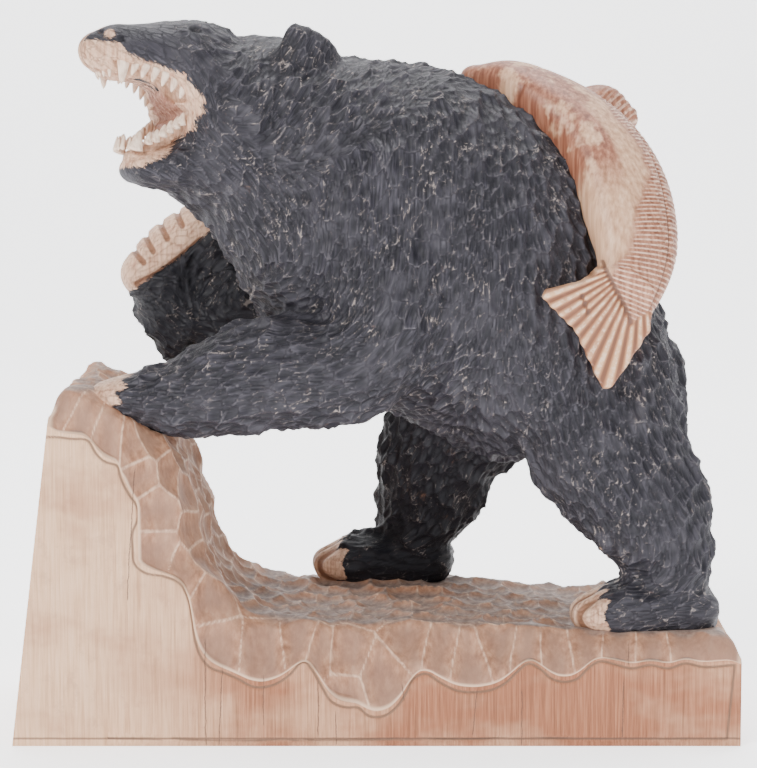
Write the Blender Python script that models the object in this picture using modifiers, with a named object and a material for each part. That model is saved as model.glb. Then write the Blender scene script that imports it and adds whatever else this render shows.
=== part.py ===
"""A carved wooden bear: it climbs a rock with a salmon over its back, all cut from one block.

The frame stands on the floor: X runs along the bear towards its tail, Y across it away from its
left side, Z up, and the origin is the middle of the flat underside.
"""
import math

import bmesh
import bpy
import numpy as np

# Sizes that can be set by themselves, in metres
BEAR_HEIGHT = 0.353        # from the ledge to the crown of the bear's head
LEDGE_HEIGHT = 0.070       # thickness of the block under the bear's hind feet
HEEL_MARGIN = 0.009        # ledge left behind the near heel
PAW_MARGIN = 0.011         # rock left in front of the forepaw
LEAN = 0.023               # how far the rock's left end leans in, foot to top
SIDE_MARGIN = 0.012        # ledge left outside the feet
FOOT_SINK = 0.0040         # how far the soles run into the ledge
CARVED_EDGE = 0.034        # width of the gouged band above the flat front face
CARVED_DEPTH = 0.030       # and how far back it reaches
GOUGE_WIDTH = 0.024        # one gouge cut on the rock
GOUGE_DEPTH = 0.0030
GOUGE_OVERLAP = 1.6        # gouge cuts for each square of their width
LOCK_LENGTH = 0.022        # one lock of fur
LOCK_WIDTH = 0.011
LOCK_DEPTH = 0.0024
LOCK_RISE = 0.0022         # how far the ridges between locks stand above the plain form
LOCK_OVERLAP = 2.2         # locks for each rectangle of their size
END_CHAMFER = 0.010        # cut along the rock's upper right edge

# Fineness of the solid
BEAR_VOXEL = 0.0030
BEAR_TRIANGLES = 5600
ROCK_STEPS = 50            # along the rock
ROCK_ROWS = 20             # across the rock
SMOOTHING = 6              # rounds of smoothing over the joined volumes
SEED = 7

# The bear's own scale: its shape is given in 353rds of its height, above the ledge
U = BEAR_HEIGHT / 353.0
STANCE_FRONT = -177.0      # tip of the near forepaw
STANCE_BACK = 203.0        # near heel
LEG_SPREAD = 56.0          # feet from the middle plane
FOOT_HALF = 25.0           # half the width of a foot
NEAR_ANKLE, FAR_ANKLE = 175.0, 21.0
FAR_RISE = 7.0             # the ledge swells under the far foot
FAR_SWELL = (4.0, 48.0, 62.0, 34.0)        # its middle along and across, its spread along and across
NEAR_DROP = 4.0            # and dips under the near one
NEAR_DIP = (160.0, -60.0, 60.0, 34.0)
LEFT = STANCE_FRONT * U - PAW_MARGIN - LEAN
RIGHT = STANCE_BACK * U + HEEL_MARGIN
MIDDLE = (LEFT + RIGHT) / 2
HALF_DEPTH = (LEG_SPREAD + FOOT_HALF) * U + SIDE_MARGIN


def smooth_path(rows, count):
    """Catmull-Rom curve through the rows, at count even steps of chord length."""
    rows = np.asarray(rows, float)
    chord = np.linalg.norm(np.diff(rows[:, :3], axis=0), axis=1)
    knots = np.concatenate([[0.0], np.cumsum(chord)])
    slope = np.gradient(rows, knots, axis=0)
    at = np.linspace(0.0, knots[-1], count)
    k = np.clip(np.searchsorted(knots, at, side="right") - 1, 0, len(rows) - 2)
    span = (knots[k + 1] - knots[k])[:, None]
    w = (at - knots[k])[:, None] / span
    h0 = 2 * w**3 - 3 * w**2 + 1
    h1 = w**3 - 2 * w**2 + w
    h2 = -2 * w**3 + 3 * w**2
    h3 = w**3 - w**2
    return h0 * rows[k] + h1 * span * slope[k] + h2 * rows[k + 1] + h3 * span * slope[k + 1]


def unit(v):
    """Vectors of length one."""
    return v / np.maximum(np.linalg.norm(v, axis=-1, keepdims=True), 1e-9)


def loft(rows, up, count=24, sides=24, power=2.2, caps=5):
    """Rounded tube: rows are x, y, z, half-width, reach above, reach below; up turns the section.

    Each section is a superellipse, and each end closes in a dome of caps more rings.
    """
    path = smooth_path(rows, count)
    centre, size = path[:, :3], path[:, 3:6]
    along = unit(np.gradient(centre, axis=0))
    up = np.broadcast_to(np.asarray(up, float), centre.shape)
    side = unit(np.cross(up, along))
    over = unit(np.cross(along, side))
    turn = np.linspace(0.0, 0.5 * math.pi, caps + 1)[1:]
    first = [(centre[0] - along[0] * size[0, 1:].mean() * math.sin(a), 0, math.cos(a)) for a in turn[::-1]]
    last = [(centre[-1] + along[-1] * size[-1, 1:].mean() * math.sin(a), -1, math.cos(a)) for a in turn]
    rings = [(c, k, g) for c, k, g in first]
    rings += [(centre[k], k, 1.0) for k in range(count)]
    rings += [(c, k, g) for c, k, g in last]
    angle = np.linspace(0.0, 2 * math.pi, sides, endpoint=False)
    ca, sa = np.cos(angle), np.sin(angle)
    ca = np.sign(ca) * np.abs(ca) ** (2 / power)
    sa = np.sign(sa) * np.abs(sa) ** (2 / power)
    verts = []
    for c, k, grow in rings[1:-1]:
        wide, high, low = size[k] * grow
        reach = np.where(sa > 0, high, low)
        verts.append(c + side[k] * (ca * wide)[:, None] + over[k] * (sa * reach)[:, None])
    verts = np.concatenate([rings[0][0][None]] + verts + [rings[-1][0][None]])
    faces = []
    n = len(rings) - 2
    for j in range(sides):
        nxt = (j + 1) % sides
        faces.append((0, 1 + nxt, 1 + j))
        faces.append((len(verts) - 1, 1 + (n - 1) * sides + j, 1 + (n - 1) * sides + nxt))
        for i in range(n - 1):
            a, b = 1 + i * sides, 1 + (i + 1) * sides
            faces.append((a + j, a + nxt, b + nxt, b + j))
    return verts, faces


# The bear's body and legs: x, y, z above the ledge, half-width, reach above, reach below
TRUNK = [(142, 2, 116, 56, 44, 48), (126, 2, 136, 72, 63, 62), (98, 2, 158, 79, 86, 76),
         (62, 0, 192, 82, 104, 92), (22, 0, 224, 80, 101, 98), (-13, -2, 248, 75, 92, 92),
         (-44, -4, 270, 64, 73, 74), (-66, -5, 286, 56, 58, 62)]
NEAR_FORELEG = [(15, -40, 250, 33, 43, 43), (12, -52, 204, 34, 41, 41), (4, -58, 166, 34, 39, 33),
                (-18, -61, 150, 32, 33, 30), (-61, -63, 147, 30, 35, 31), (-99, -63, 139, 27, 27, 28),
                (-125, -63, 134, 24, 18, 19), (-147, -63, 136, 22, 12, 13), (-159, -63, 136, 18, 8, 8)]
FAR_FORELEG = [(-27, 38, 209, 30, 34, 34), (-70, 54, 182, 28, 32, 31), (-108, 62, 166, 26, 30, 28),
               (-126, 62, 184, 23, 25, 24), (-122, 60, 208, 21, 21, 20)]
NEAR_HINDLEG = [(127, -32, 148, 39, 54, 48), (139, -42, 102, 36, 48, 46), (161, -50, 60, 29, 34, 39),
                (175, -54, 31, 23, 23, 25), (179, -56, 18, 20, 18, 17)]
FAR_HINDLEG = [(72, 28, 138, 34, 50, 48), (58, 36, 118, 34, 48, 48), (41, 45, 90, 32, 38, 38),
               (33, 52, 60, 27, 33, 34), (26, 56, 36, 23, 25, 22)]
FOOT = [(14, 0, 14, 20, 11, 19), (0, 0, 15, 22, 15, 21), (-22, -1, 15, 24, 15, 21),
        (-40, -2, 14, 25, 12, 19), (-50, -2, 12, 22, 8, 15)]
FAR_PAW = [(-94, 60, 232, 20, 18, 15), (-110, 60, 223, 24, 19, 17), (-130, 60, 209, 24, 19, 16),
           (-145, 60, 197, 20, 15, 13)]
STUB = [(170, 2, 160, 9, 9, 9), (180, 2, 146, 8, 8, 8), (184, 2, 132, 5, 5, 5)]

# The head, in its own axes: forward, left, up from the middle of the skull
HEAD_PLACE = (-78.4, -5.0, 309.9)
HEAD_YAW, HEAD_PITCH, HEAD_ROLL = 28.0, 13.0, 7.0
SKULL = [(-46, 0, -16, 50, 46, 56), (-18, 0, -18, 57, 53, 58), (10, 0, -15, 55, 50, 52),
         (28, 0, -4, 46, 39, 34), (44, 0, 8, 37, 26, 25)]
MUZZLE = [(34, 0, 9, 36, 26, 26), (52, 0, 9, 29, 23, 21), (67, 0, 8, 24, 19, 18),
          (80, 0, 6, 21, 17, 16), (91, 0, 5, 19, 16, 17), (97, 0, 4, 13, 12, 13)]
JAW = [(-6, 0, -46, 45, 34, 38), (18, 0, -48, 41, 25, 27), (36, 0, -50, 32, 14, 18),
       (51, 0, -55, 25, 10, 13), (62, 0, -59, 18, 9, 9)]
EAR = [(-12, 42, 8, 18, 8, 8), (-14, 46, 24, 19, 7, 8), (-16, 47, 35, 13, 6, 6)]

# The salmon: x, y, z, half-width, reach outwards, reach inwards
SALMON = [(62, 16, 319, 12, 8, 14), (78, 9, 317, 18, 13, 20), (101, -4, 307, 23, 16, 26),
          (125, -19, 289, 27, 18, 28), (142, -38, 265, 29, 18, 28), (149, -56, 241, 28, 16, 26),
          (151, -70, 219, 24, 13, 22), (147, -79, 202, 20, 9, 18), (141, -84, 190, 17, 5, 14)]
SALMON_OUT = [(0.45, -0.1, 0.9), (0.5, -0.2, 0.85), (0.5, -0.35, 0.8), (0.5, -0.5, 0.7),
              (0.5, -0.62, 0.6), (0.45, -0.75, 0.5), (0.35, -0.86, 0.35), (0.2, -0.95, 0.2),
              (0.1, -1.0, 0.1)]
DORSAL_FIN = [(122, 8, 300, 12, 12, 14), (137, 8, 303, 11, 12, 14), (149, 8, 296, 8, 8, 10)]
TAIL_FAN = [(131, 213), (119, 203), (97, 199), (96, 194), (115, 175), (131, 141), (137, 143),
            (158, 176), (160, 200), (146, 212)]
TAIL_FRONT, TAIL_BACK = -91.0, -62.0
TAIL_SLOPE = 0.10           # the fan leans in towards its tips

# The open mouth is a wedge from side to side: forward and up of its corner, roof and floor
MOUTH = [(43, -24), (64, -12), (112, -9), (112, -34), (84, -47), (60, -42)]
MOUTH_REACH = 60.0

# The rock from the forepaw to the near heel: x and z of its upper outline, the way from there to
# the flat face (x, z) and the gouged band's width as a share of CARVED_EDGE
ROCK_TOP = 122.0           # height of the rock's left end
ROCK = [(-178, 136, 0.08, -1.00, 0.55), (-160, 134, 0.02, -1.00, 0.80),
        (-140, 118, -0.30, -0.95, 0.70), (-122, 106, -0.75, -0.65, 0.68), (-112, 84, -0.98, -0.20, 0.85),
        (-104, 60, -1.00, -0.05, 1.08), (-98, 38, -0.95, -0.20, 0.98), (-87, 18, -0.80, -0.50, 0.85),
        (-68, 5, -0.50, -0.85, 1.10), (-38, 1, -0.15, -1.00, 1.00), (0, 0, 0.00, -1.00, 1.25),
        (45, 0, 0.00, -1.00, 1.05), (92, -2, 0.00, -1.00, 0.70), (140, -4, 0.00, -1.00, 0.50)]
HEEL_LEVEL = -4.0          # height of the rock behind the near heel
END_BAND = 0.42            # the band's share at the right end
CORNER_BAND = 0.10         # and at the two end corners
BAND_WAVE = 46.0           # length of one wave of the band's edge
BAND_SWING = 0.20
THINNEST_BAND = 0.002


def head_axes():
    """Forward, left and up of the head, turned by its yaw, pitch and roll."""
    yaw, pitch, roll = (math.radians(a) for a in (HEAD_YAW, HEAD_PITCH, HEAD_ROLL))
    up = np.array([0.0, 0.0, 1.0])
    forward = np.array([-math.cos(yaw), -math.sin(yaw), 0.0])
    left = np.cross(up, forward)
    forward, up = (forward * math.cos(pitch) + up * math.sin(pitch),
                   up * math.cos(pitch) - forward * math.sin(pitch))
    left, up = (left * math.cos(roll) + up * math.sin(roll), up * math.cos(roll) - left * math.sin(roll))
    return np.array([forward, left, up])


def on_head(rows):
    """Rows given in the head's axes, placed on the bear."""
    rows = np.asarray(rows, float).copy()
    rows[:, :3] = rows[:, :3] @ head_axes() + np.array(HEAD_PLACE)
    return rows


def moved(rows, x, y, z):
    """The same rows shifted."""
    rows = np.asarray(rows, float).copy()
    rows[:, :3] += (x, y, z)
    return rows


def bear_lofts():
    """Every rounded volume of the bear: name, rows, direction of the section's upper side."""
    head_up = head_axes()[2]
    head_side = head_axes()[1]
    upright = (0.0, 0.0, 1.0)
    ahead = (-1.0, 0.0, 0.35)
    return [
        ("trunk", TRUNK, upright), ("skull", on_head(SKULL), head_up),
        ("muzzle", on_head(MUZZLE), head_up), ("jaw", on_head(JAW), head_up),
        ("near_ear", on_head(EAR), head_side),
        ("far_ear", on_head([(f, -l, u, a, b, c) for f, l, u, a, b, c in EAR]), -head_side),
        ("near_foreleg", NEAR_FORELEG, ahead), ("far_foreleg", FAR_FORELEG, ahead),
        ("far_paw", FAR_PAW, (-0.6, 0.0, 0.8)),
        ("near_hindleg", NEAR_HINDLEG, ahead), ("far_hindleg", FAR_HINDLEG, ahead),
        ("tail_stub", STUB, ahead),
        ("near_foot", moved(FOOT, NEAR_ANKLE, -LEG_SPREAD, -NEAR_DROP), upright),
        ("far_foot", moved(FOOT, FAR_ANKLE, LEG_SPREAD, FAR_RISE), upright),
    ]


def to_world(points):
    """Bear units above the ledge, turned into metres above the floor."""
    points = np.asarray(points, float) * U
    points[:, 0] -= MIDDLE
    points[:, 2] += LEDGE_HEIGHT - FOOT_SINK
    return points


def new_object(name, verts, faces, collection):
    """A mesh object from points and faces."""
    mesh = bpy.data.meshes.new(name)
    mesh.from_pydata([tuple(v) for v in verts], [], [tuple(int(i) for i in f) for f in faces])
    mesh.update()
    obj = bpy.data.objects.new(name, mesh)
    collection.objects.link(obj)
    return obj


def ground_swell(x, y):
    """The ledge swells under the far foot and dips under the near one."""
    (fx, fy, flong, fwide), (nx, ny, nlong, nwide) = FAR_SWELL, NEAR_DIP
    far = FAR_RISE * np.exp(-((x - fx) / flong) ** 2 - ((y - fy) / fwide) ** 2)
    near = NEAR_DROP * np.exp(-((x - nx) / nlong) ** 2 - ((y - ny) / nwide) ** 2)
    return far - near


def gouges(points, normals, width, depth, rng, keep):
    """Overlapping round gouge cuts: each point sinks to the bowl of its nearest cut."""
    count = int(GOUGE_OVERLAP * len(points) * np.median(cell_area(points)) / width**2)
    seeds = points[rng.permutation(len(points))[:count]]
    near = np.full(len(points), 1e9)
    for start in range(0, len(points), 2000):
        part = points[start:start + 2000]
        gap = np.linalg.norm(part[:, None] - seeds[None], axis=2)
        near[start:start + 2000] = gap.min(axis=1)
    bowl = depth * (1.0 - np.minimum(near / (0.5 * width), 1.0) ** 2)
    return points - normals * (bowl * keep)[:, None]


def cell_area(points):
    """Square of each point's distance to the one before it in the list."""
    return np.sum(np.diff(points, axis=0) ** 2, axis=1)


def rock_rows():
    """The rock's upper outline in bear units: x, z, 0, way to the flat face and the band's share."""
    left = (LEFT + LEAN) / U
    right = RIGHT / U
    cut = END_CHAMFER / U
    wall = unit(np.array([-LEAN, -(ROCK_TOP * U + LEDGE_HEIGHT)]))
    rows = [(left, ROCK_TOP, wall[0], wall[1], CORNER_BAND)] + ROCK
    rows += [(right - 2.6 * cut, HEEL_LEVEL, 0.0, -1.0, END_BAND),
             (right - cut, HEEL_LEVEL - 1, 0.0, -1.0, END_BAND),
             (right, HEEL_LEVEL - 1 - 1.3 * cut, 0.0, -1.0, CORNER_BAND)]
    return smooth_path([(x, z, 0.0, dx, dz, w) for x, z, dx, dz, w in rows], ROCK_STEPS)


def rock(collection):
    """The block under the bear: flat sides and foot, a gouged slope and ledge above them."""
    rng = np.random.RandomState(SEED)
    path = rock_rows()
    x, z = path[:, 0] * U, path[:, 1] * U
    toward = unit(path[:, 3:5])
    run = np.concatenate([[0.0], np.cumsum(np.hypot(np.diff(x), np.diff(z)))])
    swing = BAND_SWING * np.clip(path[:, 0] / 60 + 2, 0, 1)
    wave = 1.0 + swing * np.sin(2 * math.pi * run / (BAND_WAVE * U))
    band = np.maximum(path[:, 5] * wave * CARVED_EDGE, THINNEST_BAND)
    turn = np.linspace(0.0, 0.5 * math.pi, 5)
    reach = np.minimum(band * CARVED_DEPTH / CARVED_EDGE, CARVED_DEPTH)
    inner = ROCK_ROWS - 2 * len(turn)
    drop = np.concatenate([1 - np.sin(turn), np.zeros(inner), 1 - np.sin(turn[::-1])])
    flat = np.linspace(-1.0, 1.0, inner + 2)[1:-1]
    y = np.concatenate([
        -HALF_DEPTH + reach[:, None] * (1 - np.cos(turn)),
        flat * (HALF_DEPTH - reach)[:, None],
        HALF_DEPTH - reach[:, None] * (1 - np.cos(turn[::-1]))], axis=1)
    gx = x[:, None] + toward[:, :1] * band[:, None] * drop
    gz = z[:, None] + toward[:, 1:] * band[:, None] * drop
    gz = gz + ground_swell(gx / U, y / U) * U * (1 - drop)
    grid = np.stack([gx, y, gz], axis=2)
    across = np.gradient(grid, axis=1)
    along = np.gradient(grid, axis=0)
    normal = unit(np.cross(along, across))
    keep = np.ones(grid.shape[:2])
    keep[:, (0, -1)] = 0.0
    keep[(0, 1, -2, -1), :] = 0.0
    cut = gouges(grid.reshape(-1, 3), normal.reshape(-1, 3), GOUGE_WIDTH, GOUGE_DEPTH, rng, keep.ravel())
    grid = cut.reshape(grid.shape)
    grid[..., 0] -= MIDDLE
    grid[..., 2] += LEDGE_HEIGHT
    bm = bmesh.new()
    v = [[bm.verts.new(p) for p in row] for row in grid]
    for i in range(len(v) - 1):
        for j in range(len(v[0]) - 1):
            bm.faces.new((v[i][j], v[i][j + 1], v[i + 1][j + 1], v[i + 1][j]))
    foot = [bm.verts.new((a - MIDDLE, b, 0.0)) for a, b in
            ((LEFT, -HALF_DEPTH), (RIGHT, -HALF_DEPTH), (RIGHT, HALF_DEPTH), (LEFT, HALF_DEPTH))]
    bm.faces.new(foot[::-1])
    bm.faces.new([foot[0], foot[1]] + [row[0] for row in v[::-1]])
    bm.faces.new([foot[2], foot[3]] + [row[-1] for row in v])
    bm.faces.new([foot[3], foot[0]] + v[0])
    bm.faces.new([foot[1], foot[2]] + v[-1][::-1])
    bm.normal_update()
    bmesh.ops.triangulate(bm, faces=[f for f in bm.faces if len(f.verts) > 4])
    bmesh.ops.recalc_face_normals(bm, faces=bm.faces)
    mesh = bpy.data.meshes.new("rock")
    bm.to_mesh(mesh)
    bm.free()
    obj = bpy.data.objects.new("rock", mesh)
    collection.objects.link(obj)
    return obj


def slab(name, outline, low, high, collection):
    """A flat outline carried from low to high: outline points and the two ends are 3D offsets."""
    bm = bmesh.new()
    a = [bm.verts.new(tuple(p)) for p in outline + low]
    b = [bm.verts.new(tuple(p)) for p in outline + high]
    bm.faces.new(a)
    bm.faces.new(b[::-1])
    for i in range(len(a)):
        k = (i + 1) % len(a)
        bm.faces.new((a[i], a[k], b[k], b[i]))
    bm.normal_update()
    bmesh.ops.triangulate(bm, faces=bm.faces[:])
    bmesh.ops.recalc_face_normals(bm, faces=bm.faces)
    mesh = bpy.data.meshes.new(name)
    bm.to_mesh(mesh)
    bm.free()
    obj = bpy.data.objects.new(name, mesh)
    collection.objects.link(obj)
    return obj


def settled(obj):
    """Replace an object's mesh by what its modifiers make of it."""
    depsgraph = bpy.context.evaluated_depsgraph_get()
    mesh = bpy.data.meshes.new_from_object(obj.evaluated_get(depsgraph))
    obj.modifiers.clear()
    old = obj.data
    obj.data = mesh
    bpy.data.meshes.remove(old)


def combine(obj, other, operation):
    """Boolean of two objects into the first; the second is removed."""
    step = obj.modifiers.new("cut", "BOOLEAN")
    step.operation = operation
    step.solver = "EXACT"
    step.object = other
    settled(obj)
    bpy.data.objects.remove(other, do_unlink=True)


def coordinates(mesh):
    """All vertex places of a mesh as one array."""
    co = np.empty(len(mesh.vertices) * 3, np.float32)
    mesh.vertices.foreach_get("co", co)
    return co.reshape(-1, 3).astype(float)


def vertex_normals(mesh):
    """All vertex normals of a mesh as one array."""
    no = np.empty(len(mesh.vertices) * 3, np.float32)
    mesh.vertex_normals.foreach_get("vector", no)
    return no.reshape(-1, 3).astype(float)


def put_coordinates(mesh, co):
    """Write vertex places back."""
    mesh.vertices.foreach_set("co", co.astype(np.float32).ravel())
    mesh.update()


def relax(mesh, rounds, strength=0.5):
    """Even the surface out: each vertex moves towards the mean of its neighbours."""
    edges = np.empty(len(mesh.edges) * 2, np.int32)
    mesh.edges.foreach_get("vertices", edges)
    a, b = edges.reshape(-1, 2).T
    co = coordinates(mesh)
    count = np.bincount(a, minlength=len(co)) + np.bincount(b, minlength=len(co))
    for _ in range(rounds):
        total = np.stack([np.bincount(a, co[b, k], len(co)) + np.bincount(b, co[a, k], len(co))
                          for k in range(3)], axis=1)
        co += strength * (total / count[:, None] - co)
    put_coordinates(mesh, co)


def fur_flow(points):
    """Lie of the fur: along the nearest limb towards its end, and back and down on the body."""
    lines, runs = [], []
    for name, rows, _ in bear_lofts():
        path = smooth_path(rows, 24)[:, :3]
        run = unit(np.gradient(path, axis=0))
        if name in ("trunk", "muzzle", "skull", "jaw"):
            run = unit(run * (1.0 if name == "skull" else -1.0) + (0.25, 0.0, -0.75))
        lines.append(to_world(path))
        runs.append(run)
    lines, runs = np.concatenate(lines), np.concatenate(runs)
    flow = np.empty_like(points)
    for start in range(0, len(points), 4000):
        gap = np.linalg.norm(points[start:start + 4000, None] - lines[None], axis=2)
        share = np.exp(-(gap - gap.min(axis=1, keepdims=True)) / (8 * U))
        flow[start:start + 4000] = share @ runs
    return unit(flow)


def carve_fur(mesh, rng):
    """Cut the locks: long shallow gouges that follow the lie of the fur."""
    co, no = coordinates(mesh), vertex_normals(mesh)
    flow = fur_flow(co)
    flow = unit(flow - no * np.sum(flow * no, axis=1, keepdims=True))
    across = np.cross(no, flow)
    count = int(LOCK_OVERLAP * len(co) * BEAR_VOXEL**2 / (LOCK_LENGTH * LOCK_WIDTH))
    seeds = rng.permutation(len(co))[:count]
    best = np.full(len(co), 1e9)
    for start in range(0, len(co), 2000):
        gap = co[start:start + 2000, None] - co[seeds][None]
        run = np.einsum("ijk,jk->ij", gap, flow[seeds]) / (0.5 * LOCK_LENGTH)
        side = np.einsum("ijk,jk->ij", gap, across[seeds]) / (0.5 * LOCK_WIDTH)
        high = np.einsum("ijk,jk->ij", gap, no[seeds]) / (0.5 * LOCK_LENGTH)
        best[start:start + 2000] = (run**2 + side**2 + high**2).min(axis=1)
    put_coordinates(mesh, co + no * (LOCK_RISE - LOCK_DEPTH * (1.0 - np.minimum(best, 1.6)))[:, None])


def material(name, colour, roughness):
    """A plain Principled material."""
    mat = bpy.data.materials.new(name)
    mat.use_nodes = True
    shader = mat.node_tree.nodes["Principled BSDF"]
    shader.inputs["Base Color"].default_value = (*colour, 1.0)
    shader.inputs["Roughness"].default_value = roughness
    shader.inputs["Metallic"].default_value = 0.0
    return mat


def joined(name, pieces, collection):
    """One mesh object from several point and face lists, still as loose shells."""
    verts, faces, n = [], [], 0
    for points, polygons in pieces:
        verts.append(points)
        faces += [tuple(i + n for i in f) for f in polygons]
        n += len(points)
    return new_object(name, np.concatenate(verts), faces, collection)


def bear(collection, rng):
    """The bear: its rounded volumes melted into one skin, the mouth cut open, the fur carved."""
    pieces = [(to_world(points), faces) for points, faces in
              (loft(rows, up) for _, rows, up in bear_lofts())]
    obj = joined("carved_bear", pieces, collection)
    skin = obj.modifiers.new("skin", "REMESH")
    skin.mode = "VOXEL"
    skin.voxel_size = BEAR_VOXEL
    settled(obj)
    relax(obj.data, SMOOTHING)
    wedge = np.array([(f, 0.0, u) for f, u in MOUTH]) @ head_axes() + np.array(HEAD_PLACE)
    reach = head_axes()[1] * MOUTH_REACH
    cutter = slab("mouth", to_world(wedge), -reach * U, reach * U, collection)
    combine(obj, cutter, "DIFFERENCE")
    carve_fur(obj.data, rng)
    thin = obj.modifiers.new("thin", "DECIMATE")
    thin.ratio = BEAR_TRIANGLES / sum(len(p.vertices) - 2 for p in obj.data.polygons)
    settled(obj)
    return obj


def salmon(collection):
    """The salmon's body, its back fin and its tail fan, joined."""
    out = smooth_path(np.hstack([np.array(SALMON)[:, :3], SALMON_OUT]), 16)[:, 3:]
    points, faces = loft(SALMON, out, 16, 14, 2.2, 3)
    obj = new_object("salmon", to_world(points), faces, collection)
    points, faces = loft(DORSAL_FIN, (0.4, 0.2, 0.9), 5, 10, 2.2, 3)
    combine(obj, new_object("fin", to_world(points), faces, collection), "UNION")
    fan = np.array([(x, 0.0, z) for x, z in TAIL_FAN])
    lean = TAIL_SLOPE * np.linalg.norm(fan - fan[0], axis=1)
    front = np.stack([0 * lean, TAIL_FRONT + lean, 0 * lean], axis=1) * U
    fan = slab("tail", to_world(fan), front, np.array((0, TAIL_BACK * U, 0)), collection)
    combine(obj, fan, "UNION")
    return obj


def build():
    """Make the whole block."""
    for old in list(bpy.data.objects):
        bpy.data.objects.remove(old, do_unlink=True)
    collection = bpy.data.collections.new("carved wooden bear")
    bpy.context.scene.collection.children.link(collection)
    obj = bear(collection, np.random.RandomState(SEED))
    combine(obj, salmon(collection), "UNION")
    combine(obj, rock(collection), "UNION")
    bm = bmesh.new()
    bm.from_mesh(obj.data)
    bmesh.ops.remove_doubles(bm, verts=bm.verts, dist=0.00005)
    bmesh.ops.triangulate(bm, faces=bm.faces[:])
    bm.to_mesh(obj.data)
    bm.free()
    obj.data.materials.clear()
    obj.data.materials.append(material("black stained wood", (0.035, 0.036, 0.045), 0.6))


# BUILD STARTS
build()
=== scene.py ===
"""Carved wooden bear that climbs a rock with a salmon over its back: the finished look.

Tables of sizes are in millimetres: x runs towards the tail, y away from the viewer, z up.
"""

import math

import bmesh
import bpy
import numpy as np
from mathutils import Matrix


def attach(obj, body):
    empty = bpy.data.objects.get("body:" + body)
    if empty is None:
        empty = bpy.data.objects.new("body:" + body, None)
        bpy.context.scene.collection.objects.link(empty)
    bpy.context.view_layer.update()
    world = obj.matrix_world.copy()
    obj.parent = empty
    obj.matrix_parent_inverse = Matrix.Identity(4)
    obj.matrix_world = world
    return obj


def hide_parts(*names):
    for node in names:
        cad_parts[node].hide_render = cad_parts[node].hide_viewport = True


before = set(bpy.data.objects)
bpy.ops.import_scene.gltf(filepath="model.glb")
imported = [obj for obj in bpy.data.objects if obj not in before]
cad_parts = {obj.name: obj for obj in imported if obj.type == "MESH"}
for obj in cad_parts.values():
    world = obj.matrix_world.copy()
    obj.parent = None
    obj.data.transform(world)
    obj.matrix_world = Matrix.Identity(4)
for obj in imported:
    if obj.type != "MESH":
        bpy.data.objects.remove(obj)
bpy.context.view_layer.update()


# The bear's body
# One carving in the round, cut from the same block as the rock and the fish, then stained blue
# black. Long gouge cuts follow the lie of the fur, and their ridges are rubbed pale by handling.
# Besides stain and wear, the colour holds painted shade in the cuts and on the far side, and a painted
# highlight along the ridges.
MM = 0.001
MIDDLE = 0.5                # the rock's middle, from the bear's own zero
SOLES = 66.0                # height of the soles above the floor
TRUNK = [(142, 2, 116, 56, 44, 48), (126, 2, 136, 72, 63, 62), (98, 2, 158, 79, 86, 76),
         (62, 0, 192, 82, 104, 92), (22, 0, 224, 80, 101, 98), (-13, -2, 248, 75, 92, 92),
         (-44, -4, 270, 64, 73, 74), (-66, -5, 286, 56, 58, 62)]
NEAR_FORELEG = [(15, -40, 250, 33, 43, 43), (12, -52, 204, 34, 41, 41), (4, -58, 166, 34, 39, 33),
                (-18, -61, 150, 32, 33, 30), (-61, -63, 147, 30, 35, 31),
                (-99, -63, 139, 27, 27, 28), (-125, -63, 134, 24, 18, 19),
                (-147, -63, 136, 22, 12, 13), (-159, -63, 136, 18, 8, 8)]
FAR_FORELEG = [(-27, 38, 209, 30, 34, 34), (-70, 54, 182, 28, 32, 31), (-108, 62, 166, 26, 30, 28),
               (-126, 62, 184, 23, 25, 24), (-122, 60, 208, 21, 21, 20)]
NEAR_HINDLEG = [(127, -32, 148, 39, 54, 48), (139, -42, 102, 36, 48, 46), (161, -50, 60, 29, 34, 39),
                (175, -54, 31, 23, 23, 25), (179, -56, 18, 20, 18, 17)]
FAR_HINDLEG = [(72, 28, 138, 34, 50, 48), (58, 36, 118, 34, 48, 48), (41, 45, 90, 32, 38, 38),
               (33, 52, 60, 27, 33, 34), (26, 56, 36, 23, 25, 22)]
FOOT = [(14, 0, 14, 20, 11, 19), (0, 0, 15, 22, 15, 21), (-22, -1, 15, 24, 15, 21),
        (-40, -2, 14, 25, 12, 19), (-50, -2, 12, 22, 8, 15)]
NEAR_FOOT_AT, FAR_FOOT_AT = (175, -56, -4), (21, 56, 7)
FAR_PAW = [(-94, 60, 232, 20, 18, 15), (-110, 60, 223, 24, 19, 17), (-130, 60, 209, 24, 19, 16),
           (-145, 60, 197, 20, 15, 13)]
STUB = [(170, 2, 160, 9, 9, 9), (180, 2, 146, 8, 8, 8), (184, 2, 132, 5, 5, 5)]
# The head's own axes: forward, left and up from the middle of the skull
HEAD_AT = np.array((-78.4, -5.0, 309.9))
HEAD_YAW, HEAD_PITCH, HEAD_ROLL = 28.0, 13.0, 7.0
SKULL = [(-46, 0, -16, 50, 46, 56), (-18, 0, -18, 57, 53, 58), (10, 0, -15, 55, 50, 52),
         (28, 0, -4, 46, 39, 34), (44, 0, 8, 37, 26, 25)]
MUZZLE = [(34, 0, 9, 36, 26, 26), (52, 0, 9, 29, 23, 21), (67, 0, 8, 24, 19, 18),
          (80, 0, 6, 21, 17, 16), (91, 0, 5, 19, 16, 17), (97, 0, 4, 13, 12, 13)]
JAW = [(-6, 0, -46, 45, 34, 38), (18, 0, -48, 41, 25, 27), (36, 0, -50, 32, 14, 18),
       (51, 0, -55, 25, 10, 13), (62, 0, -59, 18, 9, 9)]
EAR = [(-12, 42, 8, 20, 8, 8), (-15, 46, 21, 22, 7, 8), (-18, 47, 31, 20, 6, 7)]
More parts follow.
